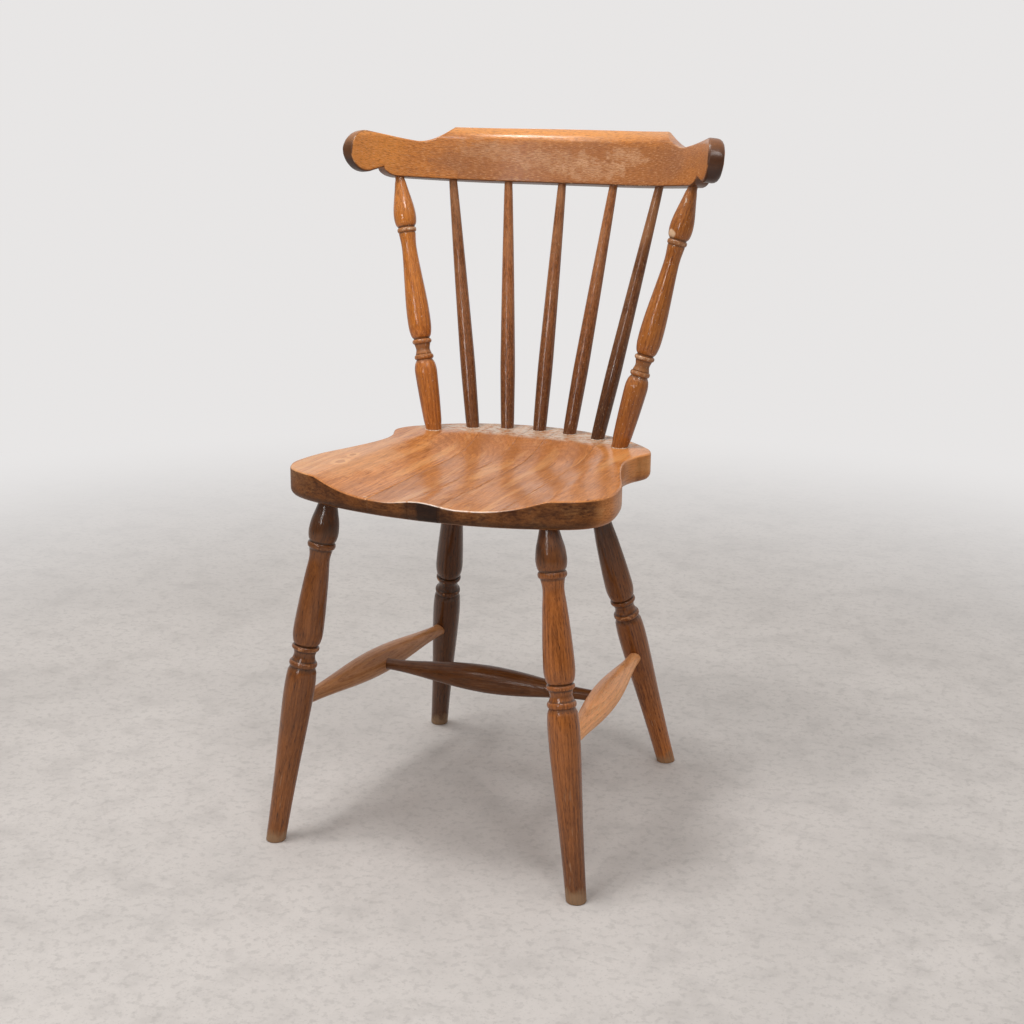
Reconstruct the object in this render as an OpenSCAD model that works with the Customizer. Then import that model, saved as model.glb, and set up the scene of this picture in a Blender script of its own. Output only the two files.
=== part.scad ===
// Spindle back dining chair: saddle seat on four splayed turned legs joined
// by an H of stretchers, with two turned posts and five plain spindles under
// a bent crest rail with scrolled ends.
// Z is up and the floor is z = 0. The chair faces -Y and is symmetric in X.

/* [Seat] */
// Height of the flat rim of the seat above the floor
seat_h = 456; // [420:1:500]
// Thickness of the seat boards
seat_t = 34; // [32:1:44]
// Half width of the seat at its widest
seat_half_w = 200; // [180:1:230]
// Reach of the seat in front of its middle
seat_front = 221; // [200:1:250]
// Reach of the seat behind its middle
seat_back = 173; // [168:1:200]
// Depth of the bowl below the rim
bowl_depth = 17; // [8:0.5:18]
// Depth of the thigh grooves below the rim at the front edge
groove_depth = 15; // [8:0.5:17]
// Distance from the middle to each thigh groove
groove_x = 58; // [50:1:66]
// Half width of each thigh groove
groove_half_w = 87; // [75:1:92]
// How far the bowl draws in its sides towards the back
bowl_draw = 13; // [0:1:20]
// Place of the deepest part of the bowl, front to back
bowl_y = 15; // [0:1:20]
// Distance from the deepest part of the bowl to its back rim
bowl_back = 91; // [80:1:95]
// Rise of the middle ridge at the front edge
ridge_h = 5; // [0:0.5:8]
// Half width of the middle ridge
ridge_half_w = 46; // [36:1:56]
// Distance in front of the middle at which the ridge starts
ridge_start = 77; // [60:1:110]

/* [Seat boards] */
// Glue line between the wide left board and the next
glue_a = -66; // [-70:1:-58]
// Glue line left of the narrow middle board
glue_b = -12; // [-16:1:-10]
// Glue line right of the narrow middle board
glue_c = 24; // [15:1:30]
// Glue line before the wide right board
glue_d = 97; // [96:1:102]

/* [Legs] */
// Half distance between the front feet
front_foot_x = 195; // [170:1:220]
// Place of the front feet, front to back
front_foot_y = -218; // [-240:1:-190]
// Half distance between the front legs at the seat
front_top_x = 137.5; // [120:0.5:150]
// Place of the front legs at the seat
front_top_y = -172.5; // [-180:0.5:-150]
// Half distance between the back feet
back_foot_x = 170.5; // [150:0.5:200]
// Place of the back feet, front to back
back_foot_y = 201.5; // [180:0.5:230]
// Half distance between the back legs at the seat
back_top_x = 91; // [80:1:105]
// Place of the back legs at the seat
back_top_y = 84.5; // [70:0.5:95]
// Radius of a leg where it meets the seat, and of its tenon
leg_tenon_r = 11; // [9:0.5:11.5]
// Height of the leg tenon above the underside of the seat
leg_tenon_h = 22; // [14:1:24]
// Scale of the thickness of the leg turning
leg_fat = 1; // [0.85:0.01:1.15]

/* [Stretchers] */
// Height of the side stretchers at the front legs
side_front_z = 174; // [140:1:190]
// Height of the side stretchers at the back legs
side_back_z = 164; // [140:1:185]
// Radius of the side stretchers at their middle
side_mid_r = 17.4; // [13:0.2:20]
// Radius of the ends of the side stretchers
side_end_r = 8; // [6:0.2:9]
// Reach of the side stretcher tenon from the leg axis
side_tenon_in = 6; // [3:0.5:10]
// Radius of the centre stretcher at its middle
centre_mid_r = 17.5; // [13:0.2:20]
// Radius of the ends of the centre stretcher
centre_end_r = 7; // [5:0.2:8]
// Reach of the centre stretcher tenon from the side stretcher axis
centre_tenon_in = 4; // [2:0.5:8]

/* [Back] */
// Half distance between the posts at the seat
post_x = 127.5; // [118:0.5:134]
// Place of the posts on the seat, front to back
post_y = 95; // [80:1:100]
// Radius of a post at the seat, and of its lower tenon
post_tenon_r = 10.4; // [8:0.2:11]
// Radius of a post under the crest rail, and of its upper tenon
post_top_r = 6; // [5:0.2:6.4]
// Depth of the post and spindle tenons in the seat
back_tenon_h = 22; // [14:1:26]
// Distance between neighbouring spindles at the seat
spindle_pitch = 43.3; // [38:0.1:46]
// Place of the middle spindle on the seat
spindle_y = 146.5; // [140:0.5:152]
// Radius of the curve that the spindles stand on at the seat
spindle_arc_r = 212; // [180:2:300]
// Radius of a spindle at the seat, and of its lower tenon
spindle_foot_r = 8.5; // [7:0.1:9]
// Radius of a spindle under the crest rail, and of its upper tenon
spindle_top_r = 5.3; // [4:0.1:6]
// Depth of the tenons in the crest rail
rail_tenon_h = 19; // [12:1:22]

/* [Crest rail] */
// Height of the middle of the rail's lower edge above the seat
back_h = 310.5; // [250:1:380]
// Place of the middle of the rail's lower edge
rail_y = 215; // [190:1:240]
// Lean of the rail, in degrees
rail_lean = 13; // [5:0.5:20]
// Thickness of the rail
rail_t = 20; // [18:0.5:26]
// Radius of the flatter middle of the bend
rail_mid_r = 420; // [360:10:600]
// Half width of the flatter middle
rail_mid_half = 75; // [60:1:90]
// Radius of the bend towards the ends
rail_end_r = 222; // [215:1:260]
// Height of the rail at its middle
rail_h = 71.5; // [60:0.5:80]
// Fall of the top edge from the middle to the shoulders
rail_crown = 6.5; // [0:0.5:10]
// Fall of the lower edge from the middle to the notches
rail_droop = 10; // [0:0.5:12]
// Distance along the rail from the middle to each shoulder
shoulder_s = 149; // [140:1:152]
// Distance along the rail from the middle to each notch
notch_s = 244; // [242:0.5:246]
// Distance along the rail from the middle to each scroll centre
scroll_s = 272.5; // [270:0.5:275]
// Radius of the scrolled ends
scroll_r = 26; // [24:0.5:27]
// Height of the scroll centres above the middle of the lower edge
scroll_h = 14.5; // [11:0.5:15]
// Height of the neck between shoulder and scroll
neck_h = 39; // [32:0.5:40]
// Distance along the rail from the middle to each neck
neck_s = 200; // [190:1:206]
// Radius of the notch under each scroll
notch_r = 20; // [16:1:22]
// Height of the notch
notch_h = 9.5; // [6:0.5:12]
// Distance along the rail from the middle to each post
post_s = 219; // [208:1:220]
// Distance along the rail between neighbouring spindles
rail_pitch = 73.5; // [66:0.1:74]

/* [Fits] */
// Glue clearance around each tenon
glue_gap = 0.1; // [0.05:0.01:0.2]
// Space beyond the end of each tenon
end_gap = 0.4; // [0.2:0.1:1]

/* [Hidden] */
$fn = 64;

LEFT = -1;
RIGHT = 1;
OVER = 60;
SEAM_TURN = 50;
SEAT_TONE = "#b8743c";
LEG_TONE = "#7d4a24";
SIDE_TONE = "#a86c3a";
POST_TONE = "#a8632c";
SPINDLE_TONE = "#7a4422";
RAIL_TONE = "#b87a44";

under_z = seat_h - seat_t;
rail_z = seat_h + back_h;
glue_lines = [-seat_half_w - OVER, glue_a, glue_b, glue_c, glue_d, seat_half_w + OVER];

// Lengths that the turning patterns below were drawn for
LEG_PATTERN = 426;
POST_PATTERN = 326;
SPINDLE_PATTERN = 318;

// The whole chair is moved by this much so that its box is centred front to back
foot_r = 11.8 * leg_fat;
box_front = front_foot_y - foot_r;
box_back = rail_y + rail_t / 2 * cos(rail_lean) + rail_h * sin(rail_lean);
centre_y = -(box_front + box_back) / 2;

// ---- Curves ----

function blend_points(a, b, c, d, t) =
    ((2 * b) + (c - a) * t + (2 * a - 5 * b + 4 * c - d) * t * t
    + (3 * b - a - 3 * c + d) * t * t * t) / 2;

// Smooth curve through the points, with n steps from each to the next
function curve(p, n = 4) = let(last = len(p) - 1) concat(
    [for (i = [0:last - 1]) for (k = [0:n - 1])
        blend_points(p[max(i - 1, 0)], p[i], p[i + 1], p[min(i + 2, last)], k / n)],
    [p[last]]);

// Half round ring on a turning: place, half width, radius at its foot and at its crown
function bead(at, half, low, high) =
    [for (a = [0:20:180]) [at - half * cos(a), low + (high - low) * sin(a)]];

function lengthen(p, k) = [for (v = p) [v[0] * k, v[1]]];

function fatten(p, k) = [for (v = p) [v[0], v[1] * k]];

// ---- Places of the legs ----

function front_foot(side) = [side * front_foot_x, front_foot_y, 0];
function front_top(side) = [side * front_top_x, front_top_y, under_z];
function back_foot(side) = [side * back_foot_x, back_foot_y, 0];
function back_top(side) = [side * back_top_x, back_top_y, under_z];
function at_height(foot, top, z) = foot + (top - foot) * (z / top[2]);
function side_front(side) = at_height(front_foot(side), front_top(side), side_front_z);
function side_back(side) = at_height(back_foot(side), back_top(side), side_back_z);
function side_middle(side) = (side_front(side) + side_back(side)) / 2;

// ---- Places on the crest rail ----

rail_turn = asin(rail_mid_half / rail_mid_r);
rail_mid_s = rail_mid_r * rail_turn * PI / 180;

// Angle of the bend at a distance s along the rail
function bend_angle(s) = abs(s) < rail_mid_s
    ? s / rail_mid_r * 180 / PI
    : sign(s) * (rail_turn + (abs(s) - rail_mid_s) / rail_end_r * 180 / PI);

function bend_x(s) = let(a = bend_angle(s)) abs(s) < rail_mid_s
    ? rail_mid_r * sin(a)
    : sign(s) * (rail_mid_half + rail_end_r * (sin(abs(a)) - sin(rail_turn)));

function bend_y(s) = let(a = bend_angle(s)) abs(s) < rail_mid_s
    ? -rail_mid_r * (1 - cos(a))
    : -rail_mid_r * (1 - cos(rail_turn)) - rail_end_r * (cos(rail_turn) - cos(a));

// Point of the rail at s along it, h above its lower edge, and out in front of its middle
function on_rail(s, h, out) = let(
    a = bend_angle(s),
    x = bend_x(s) - out * sin(a),
    y = bend_y(s) - out * cos(a))
    [x, rail_y + y * cos(rail_lean) + h * sin(rail_lean),
        rail_z - y * sin(rail_lean) + h * cos(rail_lean)];

function lower_edge(s) = -rail_droop * pow(abs(s) / post_s, 2);

// ---- Places of the posts and spindles ----

function post_foot(side) = [side * post_x, post_y, seat_h];
function post_head(side) = on_rail(side * post_s, lower_edge(post_s) + rail_tenon_h / 2, 0);
function spindle_foot(i) = [i * spindle_pitch,
    spindle_y - spindle_arc_r + sqrt(pow(spindle_arc_r, 2) - pow(i * spindle_pitch, 2)), seat_h];
function spindle_head(i) = on_rail(i * rail_pitch, lower_edge(i * rail_pitch) + rail_tenon_h / 2, 0);

// ---- Turning profiles: [place along the axis, radius] ----

leg_pattern = concat(
    curve([[0, 11.8], [50, 13], [100, 14.7], [150, 17], [180, 18.1], [203, 18.2], [217, 17.2]]),
    bead(226.5, 3.5, 14.6, 16.8),
    curve([[230.5, 14.4], [237, 12.7], [243, 14]]),
    bead(246.5, 3, 14, 16.5),
    curve([[250, 14], [254, 16.3], [264, 17.9], [280, 17.6], [300, 16.6], [332, 14.4], [355, 12.3], [367, 13.8]]),
    bead(372.5, 3.5, 14.8, 16.6),
    curve([[377, 15], [381, 16.8], [389, 17.7], [401, 16.5], [411, 14]]));

post_pattern = concat(
    curve([[12, 11.6], [38, 13.1], [64, 14.1], [78, 14.3], [86, 12.8]]),
    bead(94, 3.2, 10.2, 12.4),
    curve([[98, 10.4], [104, 8.9], [110, 10.2]]),
    bead(114, 3, 10.2, 12.5),
    curve([[118, 10.4], [122, 12.8], [132, 14.6], [148, 14.9], [168, 14.1], [194, 12.2], [221, 10.2],
        [238, 9.6], [253, 10.8]]),
    bead(258, 3, 10.6, 12.3),
    curve([[261.8, 10.6], [266, 13.3], [275, 14.4], [286, 13.6], [298, 11.4], [311, 8.7], [318, 7.4]]));

spindle_pattern = curve([[10, 8.8], [39, 9.2], [78, 9.6], [117, 9.2], [195, 8], [260, 6.7], [304, 5.7]]);

// Long cigar of a stretcher, with round tenons beyond both ends
function cigar(length, inset, end_r, mid_r) =
    [for (k = [0:24]) let(t = k / 24, place = inset + (length - 2 * inset) * t)
        [place, end_r + (mid_r - end_r) * pow(sin(180 * t), 1.7)]];

// ---- Shapes ----

// Turns +Z towards b and starts at a; the turn about the axis keeps seams off the slanted cuts
module along(a, b) {
    v = b - a;
    translate(a)
        rotate([0, acos(v[2] / norm(v)), atan2(v[1], v[0])])
            rotate([0, 0, SEAM_TURN])
                children();
}

// Solid of revolution of a profile, round about Z
module turned(p) {
    rotate_extrude()
        polygon(concat([[0, p[0][0]]], [for (v = p) [v[1], v[0]]], [[0, p[len(p) - 1][0]]]));
}

// Round mortise along a line, from before its mouth to the tenon's end
module mortise(a, b, r, from, to) {
    along(a, b)
        translate([0, 0, from])
            cylinder(r = r + glue_gap, h = to - from + end_gap);
}

// Half of the seat's outline, from the middle of its back round to its front
function seat_half_outline() = curve([
    [0, seat_back],
    [43, seat_back - 4.5],
    [92, seat_back - 19],
    [131, seat_back - 41],
    [seat_half_w - 39, seat_back - 69],
    [seat_half_w - 29.5, seat_back - 84],
    [seat_half_w - 26.5, seat_back - 98],
    [seat_half_w - 31, seat_back - 112],
    [seat_half_w - 36.5, seat_back - 126],
    [seat_half_w - 39.5, seat_back - 150],
    [seat_half_w - 34.5, seat_back - 180],
    [seat_half_w - 21, seat_back - 222],
    [seat_half_w - 6.5, seat_back - 262],
    [seat_half_w, 75 - seat_front + 17],
    [seat_half_w - 2, 70 - seat_front],
    [seat_half_w - 13, 49 - seat_front],
    [seat_half_w - 33, 34 - seat_front],
    [136, 22 - seat_front],
    [97, 10.5 - seat_front],
    [50, 2.7 - seat_front],
    [0, -seat_front]]);

module seat_outline() {
    half = seat_half_outline();
    last = len(half) - 1;
    polygon(concat(half, [for (i = [last - 1:-1:1]) [-half[i][0], half[i][1]]]));
}

function ramp(v, low, high) = min(max((v - low) / (high - low), 0), 1);

function soft_ramp(v, low, high) = let(t = ramp(v, low, high)) t * t * (3 - 2 * t);

// Depth of the saddle at a place on the seat, negative outside its rim
function saddle_at(x, y) = let(
    forward = ramp(-y, -bowl_y, seat_front),
    deepest = bowl_depth + (groove_depth - bowl_depth) * forward,
    middle = groove_x - bowl_draw * (1 - forward),
    across = max(abs(x) - middle, 0) / groove_half_w,
    back = max(y - bowl_y, 0) / bowl_back,
    ridge = ridge_h * soft_ramp(-y, ridge_start, seat_front) * soft_ramp(-abs(x), -ridge_half_w, 0))
    deepest * (1 - pow(across, 2) - pow(back, 2)) - ridge;

SADDLE_STEP = 12;
saddle_rows = 28;

// What the saddle takes away between two glue lines
module saddle(x0, x1) {
    left = max(x0, -seat_half_w) - 1;
    right = min(x1, seat_half_w) + 1;
    front = -seat_front - 5;
    back = bowl_y + bowl_back + 6;
    cols = ceil((right - left) / SADDLE_STEP);
    rows = saddle_rows;
    floor_points = [for (i = [0:cols]) for (k = [0:rows])
        let(x = left + (right - left) * i / cols, y = front + (back - front) * k / rows)
        [x, y, min(seat_h - saddle_at(x, y), seat_h + OVER / 2)]];
    lid = [for (x = [left, right]) for (y = [front, back]) [x, y, seat_h + OVER]];
    n = len(floor_points);
    triangles = [for (i = [0:cols - 1]) for (k = [0:rows - 1])
        let(a = i * (rows + 1) + k, b = a + rows + 1)
        each [[a, b + 1, a + 1], [a, b, b + 1]]];
    left_wall = concat([n + 1, n], [for (k = [0:rows]) k]);
    right_wall = concat([n + 2, n + 3], [for (k = [rows:-1:0]) cols * (rows + 1) + k]);
    front_wall = concat([n, n + 2], [for (i = [cols:-1:0]) i * (rows + 1)]);
    back_wall = concat([n + 3, n + 1], [for (i = [0:cols]) i * (rows + 1) + rows]);
    top = [n + 1, n + 3, n + 2, n];
    polyhedron(concat(floor_points, lid), concat(triangles, [left_wall, right_wall, front_wall, back_wall, top]));
}

// Mortises for the legs, posts and spindles
module seat_mortises() {
    for (side = [LEFT, RIGHT]) {
        mortise(front_top(side), 2 * front_top(side) - front_foot(side), leg_tenon_r, -leg_tenon_h, leg_tenon_h);
        mortise(back_top(side), 2 * back_top(side) - back_foot(side), leg_tenon_r, -leg_tenon_h, leg_tenon_h);
        mortise(post_foot(side), 2 * post_foot(side) - post_head(side), post_tenon_r, -back_tenon_h, back_tenon_h);
    }
    for (i = [-2:2])
        mortise(spindle_foot(i), 2 * spindle_foot(i) - spindle_head(i), spindle_foot_r, -back_tenon_h, back_tenon_h);
}

// One board of the glued-up seat, counted from the left
module seat_board(i) {
    color(SEAT_TONE)
        translate([0, centre_y, 0])
            difference() {
                intersection() {
                    translate([0, 0, under_z])
                        linear_extrude(seat_t)
                            seat_outline();
                    translate([glue_lines[i - 1], -seat_front - OVER, under_z - OVER])
                        cube([glue_lines[i] - glue_lines[i - 1], seat_front + seat_back + 2 * OVER, seat_t + 2 * OVER]);
                }
                saddle(glue_lines[i - 1], glue_lines[i]);
                seat_mortises();
            }
}

// Leg from a foot on the floor to its tenon in the seat
module leg(foot, top, stretcher_far, stretcher_near) {
    length = norm(top - foot);
    k = length / LEG_PATTERN;
    profile = concat(
        [[-OVER, foot_r]],
        lengthen(fatten(leg_pattern, leg_fat), k),
        [[length - 3, leg_tenon_r], [length + leg_tenon_h, leg_tenon_r]]);
    color(LEG_TONE)
        translate([0, centre_y, 0])
            difference() {
                along(foot, top)
                    turned(profile);
                translate([-seat_half_w - OVER, -seat_front - 2 * OVER, -2 * OVER])
                    cube([2 * seat_half_w + 2 * OVER, 2 * seat_front + 4 * OVER, 2 * OVER]);
                mortise(stretcher_near, stretcher_far, side_end_r, side_tenon_in - end_gap, OVER);
            }
}

module front_leg(side) {
    leg(front_foot(side), front_top(side), side_back(side), side_front(side));
}

module back_leg(side) {
    leg(back_foot(side), back_top(side), side_front(side), side_back(side));
}

module side_stretcher(side) {
    a = side_front(side);
    b = side_back(side);
    length = norm(b - a);
    profile = concat(
        [[side_tenon_in, side_end_r]],
        cigar(length, 22, side_end_r, side_mid_r),
        [[length - side_tenon_in, side_end_r]]);
    color(SIDE_TONE)
        translate([0, centre_y, 0])
            difference() {
                along(a, b)
                    turned(profile);
                mortise(side_middle(side), side_middle(-side), centre_end_r, centre_tenon_in - end_gap, OVER);
            }
}

module centre_stretcher() {
    a = side_middle(LEFT);
    b = side_middle(RIGHT);
    length = norm(b - a);
    profile = concat(
        [[centre_tenon_in, centre_end_r]],
        cigar(length, 20, centre_end_r, centre_mid_r),
        [[length - centre_tenon_in, centre_end_r]]);
    color(LEG_TONE)
        translate([0, centre_y, 0])
            along(a, b)
                turned(profile);
}

module post(side) {
    a = post_foot(side);
    b = post_head(side);
    length = norm(b - a);
    k = (length - rail_tenon_h / 2) / POST_PATTERN;
    profile = concat(
        [[-back_tenon_h, post_tenon_r], [3.5, post_tenon_r]],
        lengthen(post_pattern, k),
        [[length - rail_tenon_h / 2 - 3, post_top_r], [length + rail_tenon_h / 2, post_top_r]]);
    color(POST_TONE)
        translate([0, centre_y, 0])
            along(a, b)
                turned(profile);
}

// Spindle counted from the middle one, which is 0
module spindle(i) {
    a = spindle_foot(i);
    b = spindle_head(i);
    length = norm(b - a);
    k = (length - rail_tenon_h / 2) / SPINDLE_PATTERN;
    profile = concat(
        [[-back_tenon_h, spindle_foot_r], [3.5, spindle_foot_r]],
        lengthen(spindle_pattern, k),
        [[length - rail_tenon_h / 2 - 3, spindle_top_r], [length + rail_tenon_h / 2, spindle_top_r]]);
    color(SPINDLE_TONE)
        translate([0, centre_y, 0])
            along(a, b)
                turned(profile);
}

// ---- Crest rail ----

shoulder_h = rail_h - rail_crown - 1;
scroll_end_s = scroll_s + scroll_r;
curl_s = scroll_s - scroll_r / 2;
curl_rise = 6.5;
neck_round = 1.8;

// Distances along one half of the rail at which its section is taken
rail_half_stations = concat(
    [for (t = [0:1 / 12:0.99]) t * (shoulder_s - 2)],
    [for (t = [0:1 / 14:0.99]) shoulder_s - 2 + t * (notch_s - shoulder_s + 2)],
    [for (t = [0:1 / 5:0.99]) notch_s + t * (scroll_s - notch_s)],
    [for (a = [0:10:80]) scroll_s + scroll_r * sin(a)],
    [scroll_end_s - 0.02]);

rail_stations = concat(
    [for (i = [len(rail_half_stations) - 1:-1:1]) -rail_half_stations[i]],
    rail_half_stations);

function scroll_reach(s) = sqrt(max(pow(scroll_r, 2) - pow(s - scroll_s, 2), 0));

// Height of the upper edge at s: crowned middle, scooped neck, round scroll
function upper_edge(s) = let(d = abs(s)) d < shoulder_s ? rail_h - rail_crown * pow(d / shoulder_s, 2)
    : d < neck_s ? neck_h + (shoulder_h - neck_h) * pow((neck_s - d) / (neck_s - shoulder_s), neck_round)
    : d < scroll_s ? neck_h + (scroll_h + scroll_r - neck_h) * (1 - cos(180 * (d - neck_s) / (scroll_s - neck_s))) / 2
    : scroll_h + scroll_reach(d);

// Height of the lower edge at s: straight droop, round to the notch, round scroll
function under_edge(s) = let(d = abs(s), start = notch_s - notch_r) d < start ? lower_edge(d)
    : d < notch_s ? lower_edge(start) + notch_h * (1 - sqrt(1 - pow((d - start) / notch_r, 2)))
    : d < curl_s ? scroll_h - scroll_reach(curl_s) + curl_rise * (curl_s - d) / (curl_s - notch_s)
    : scroll_h - scroll_reach(d);

// Section of the rail at s, its upper edge rolled over
function rail_section(s) = let(
    low = under_edge(s),
    high = upper_edge(s),
    roll = min(6, (high - low) / 3),
    half = rail_t / 2) [
    on_rail(s, low, half),
    on_rail(s, low, -half),
    for (a = [0:22.5:180])
        on_rail(s, high - roll + roll * sin(a), -half * pow(abs(cos(a)), 0.8) * sign(cos(a)))];

module rail_blank() {
    n = len(rail_section(0));
    m = len(rail_stations);
    points = [for (s = rail_stations) each rail_section(s)];
    sides = [for (i = [0:m - 2]) for (k = [0:n - 1])
        let(a = i * n + k, b = i * n + (k + 1) % n)
        each [[a, b, b + n], [a, b + n, a + n]]];
    caps = [for (k = [1:n - 2]) each [
        [0, k + 1, k],
        [(m - 1) * n, (m - 1) * n + k, (m - 1) * n + k + 1]]];
    polyhedron(points, concat(sides, caps));
}

module crest_rail() {
    color(RAIL_TONE)
        translate([0, centre_y, 0])
            difference() {
                rail_blank();
                for (side = [LEFT, RIGHT])
                    mortise(post_head(side), 2 * post_head(side) - post_foot(side),
                        post_top_r, -rail_tenon_h, rail_tenon_h / 2);
                for (i = [-2:2])
                    mortise(spindle_head(i), 2 * spindle_head(i) - spindle_foot(i),
                        spindle_top_r, -rail_tenon_h, rail_tenon_h / 2);
            }
}

seat_board(1);  // seat_board_1
seat_board(2);  // seat_board_2
seat_board(3);  // seat_board_3
seat_board(4);  // seat_board_4
seat_board(5);  // seat_board_5
front_leg(LEFT);  // leg_front_left
front_leg(RIGHT);  // leg_front_right
back_leg(LEFT);  // leg_back_left
back_leg(RIGHT);  // leg_back_right
side_stretcher(LEFT);  // stretcher_left
side_stretcher(RIGHT);  // stretcher_right
centre_stretcher();  // stretcher_centre
post(LEFT);  // post_left
post(RIGHT);  // post_right
spindle(-2);  // spindle_1
spindle(-1);  // spindle_2
spindle(0);  // spindle_3
spindle(1);  // spindle_4
spindle(2);  // spindle_5
crest_rail();
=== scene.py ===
import math

import bmesh
import bpy
import numpy as np
from bpy.props import FloatProperty, FloatVectorProperty, PointerProperty
from mathutils import Matrix, Vector


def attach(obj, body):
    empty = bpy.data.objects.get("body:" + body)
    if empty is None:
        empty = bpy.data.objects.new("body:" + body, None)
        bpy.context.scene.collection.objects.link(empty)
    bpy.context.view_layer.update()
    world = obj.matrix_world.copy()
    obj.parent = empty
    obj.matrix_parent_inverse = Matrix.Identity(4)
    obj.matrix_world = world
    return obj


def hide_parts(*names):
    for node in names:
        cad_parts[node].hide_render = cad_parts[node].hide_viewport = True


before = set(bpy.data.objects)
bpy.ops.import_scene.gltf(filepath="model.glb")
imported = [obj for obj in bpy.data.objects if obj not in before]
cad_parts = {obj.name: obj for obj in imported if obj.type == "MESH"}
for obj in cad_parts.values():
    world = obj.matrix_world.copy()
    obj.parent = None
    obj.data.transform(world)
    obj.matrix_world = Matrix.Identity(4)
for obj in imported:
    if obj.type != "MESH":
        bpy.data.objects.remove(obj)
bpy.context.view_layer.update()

bl_info = {
    "name": "Spindle back chair",
    "version": (1, 0, 0),
    "blender": (4, 5, 0),
    "location": "View3D > Sidebar > Chair",
    "description": "Turns, carves and varnishes a worn spindle back chair on its frame",
    "category": "Add Mesh",
}

MM = 0.001
LEFT, RIGHT = -1, 1
SIDE_NAMES = {LEFT: "left", RIGHT: "right"}
# Millimetres: the lengths the turnings were drawn at, the foot's radius, the heads' depth
LEG_PATTERN, POST_PATTERN, SPINDLE_PATTERN = 426, 326, 318
FOOT_R = 11.8
HEAD_IN_RAIL = 9.5


# ---- Sizes and colours that a user may change ----

def length(default, name):
    """A length in metres."""
    return FloatProperty(name=name, default=default, unit="LENGTH", precision=4)


def number(default, name, unit="NONE"):
    """A share, or a lamp's power in watts."""
    return FloatProperty(name=name, default=default, min=0, unit=unit)


def tone(default, name):
    """A linear colour."""
    return FloatVectorProperty(name=name, default=default, size=3, min=0, max=1,
                               subtype="COLOR")


class SeatSizes(bpy.types.PropertyGroup):
    """Sizes of the carved saddle seat"""
    height: length(0.456, "Height of the rim")
    thick: length(0.034, "Thickness")
    half_w: length(0.2, "Half width")
    front: length(0.221, "Reach in front")
    back: length(0.173, "Reach behind")
    bowl_depth: length(0.017, "Bowl depth")
    groove_depth: length(0.015, "Depth of the thigh grooves")
    groove_x: length(0.058, "From the middle to each groove")
    groove_half_w: length(0.087, "Half width of a groove")
    bowl_draw: length(0.013, "How far the bowl draws in")
    bowl_y: length(0.015, "Place of the bowl")
    bowl_back: length(0.091, "From the bowl to the back rim")
    ridge_h: length(0.005, "Rise of the front ridge")
    ridge_half_w: length(0.046, "Half width of the ridge")
    ridge_start: length(0.077, "Where the ridge starts")
    rim_soft: length(0.0011, "Rounding of the bowl's rim")
    top_round: length(0.0026, "Rounding of the upper edge")
    low_round: length(0.009, "Rounding of the lower edge")
    glue_a: length(-0.066, "Glue line 1")
    glue_b: length(-0.012, "Glue line 2")
    glue_c: length(0.024, "Glue line 3")
    glue_d: length(0.097, "Glue line 4")


class LegSizes(bpy.types.PropertyGroup):
    """Sizes of the legs and stretchers"""
    front_foot_x: length(0.195, "Front feet, half apart")
    front_foot_y: length(-0.218, "Front feet, place")
    front_top_x: length(0.1375, "Front tops, half apart")
    front_top_y: length(-0.1725, "Front tops, place")
    back_foot_x: length(0.1705, "Back feet, half apart")
    back_foot_y: length(0.2015, "Back feet, place")
    back_top_x: length(0.091, "Back tops, half apart")
    back_top_y: length(0.0845, "Back tops, place")
    foot_round: length(0.0016, "Worn edge of the feet")
    side_front_z: length(0.174, "Side stretcher height in front")
    side_back_z: length(0.164, "Side stretcher height behind")
    side_mid_r: length(0.0174, "Side stretcher middle radius")
    side_end_r: length(0.008, "Side stretcher end radius")
    centre_mid_r: length(0.0175, "Centre stretcher middle radius")
    centre_end_r: length(0.007, "Centre stretcher end radius")


class BackSizes(bpy.types.PropertyGroup):
    """Sizes of the posts, spindles and crest rail"""
    post_x: length(0.1275, "Posts, half apart")
    post_y: length(0.095, "Posts, place on the seat")
    spindle_pitch: length(0.0433, "Between spindles at the seat")
    spindle_y: length(0.1465, "Place of the middle spindle")
    spindle_arc_r: length(0.212, "Radius of their curve")
    back_h: length(0.3105, "Rail above the seat")
    rail_y: length(0.215, "Rail, place of the lower edge")
    rail_lean: number(math.radians(13), "Lean of the rail", "ROTATION")
    rail_t: length(0.02, "Rail thickness")
    rail_mid_r: length(0.42, "Radius of the flatter middle")
    rail_mid_half: length(0.075, "Half width of the flatter middle")
    rail_end_r: length(0.222, "Radius of the ends' bend")
    rail_h: length(0.0715, "Rail height")
    rail_crown: length(0.0065, "Fall of the top to the shoulders")
    rail_droop: length(0.01, "Fall of the lower edge to the posts")
    shoulder_s: length(0.149, "From the middle to a shoulder")
    neck_s: length(0.2, "From the middle to a neck")
    neck_h: length(0.039, "Neck height")
    notch_s: length(0.244, "From the middle to a notch")
    notch_r: length(0.02, "Notch radius")
    notch_h: length(0.0095, "Notch height")
    scroll_s: length(0.2725, "From the middle to a scroll")
    scroll_r: length(0.026, "Scroll radius")
    scroll_h: length(0.0145, "Scroll height")
    roll: length(0.0175, "Height of the rolled top")
    roll_w: length(0.0135, "Depth of the rolled top")
    arris: length(0.0022, "Edge rounding")
    end_arris: length(0.0036, "Scroll rounding in front")
    back_round: length(0.0045, "Upper back edge rounding")
    end_back_round: length(0.0075, "Scroll rounding behind")
    post_s: length(0.219, "From the middle to a post")
    rail_pitch: length(0.0735, "Between spindles at the rail")


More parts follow.
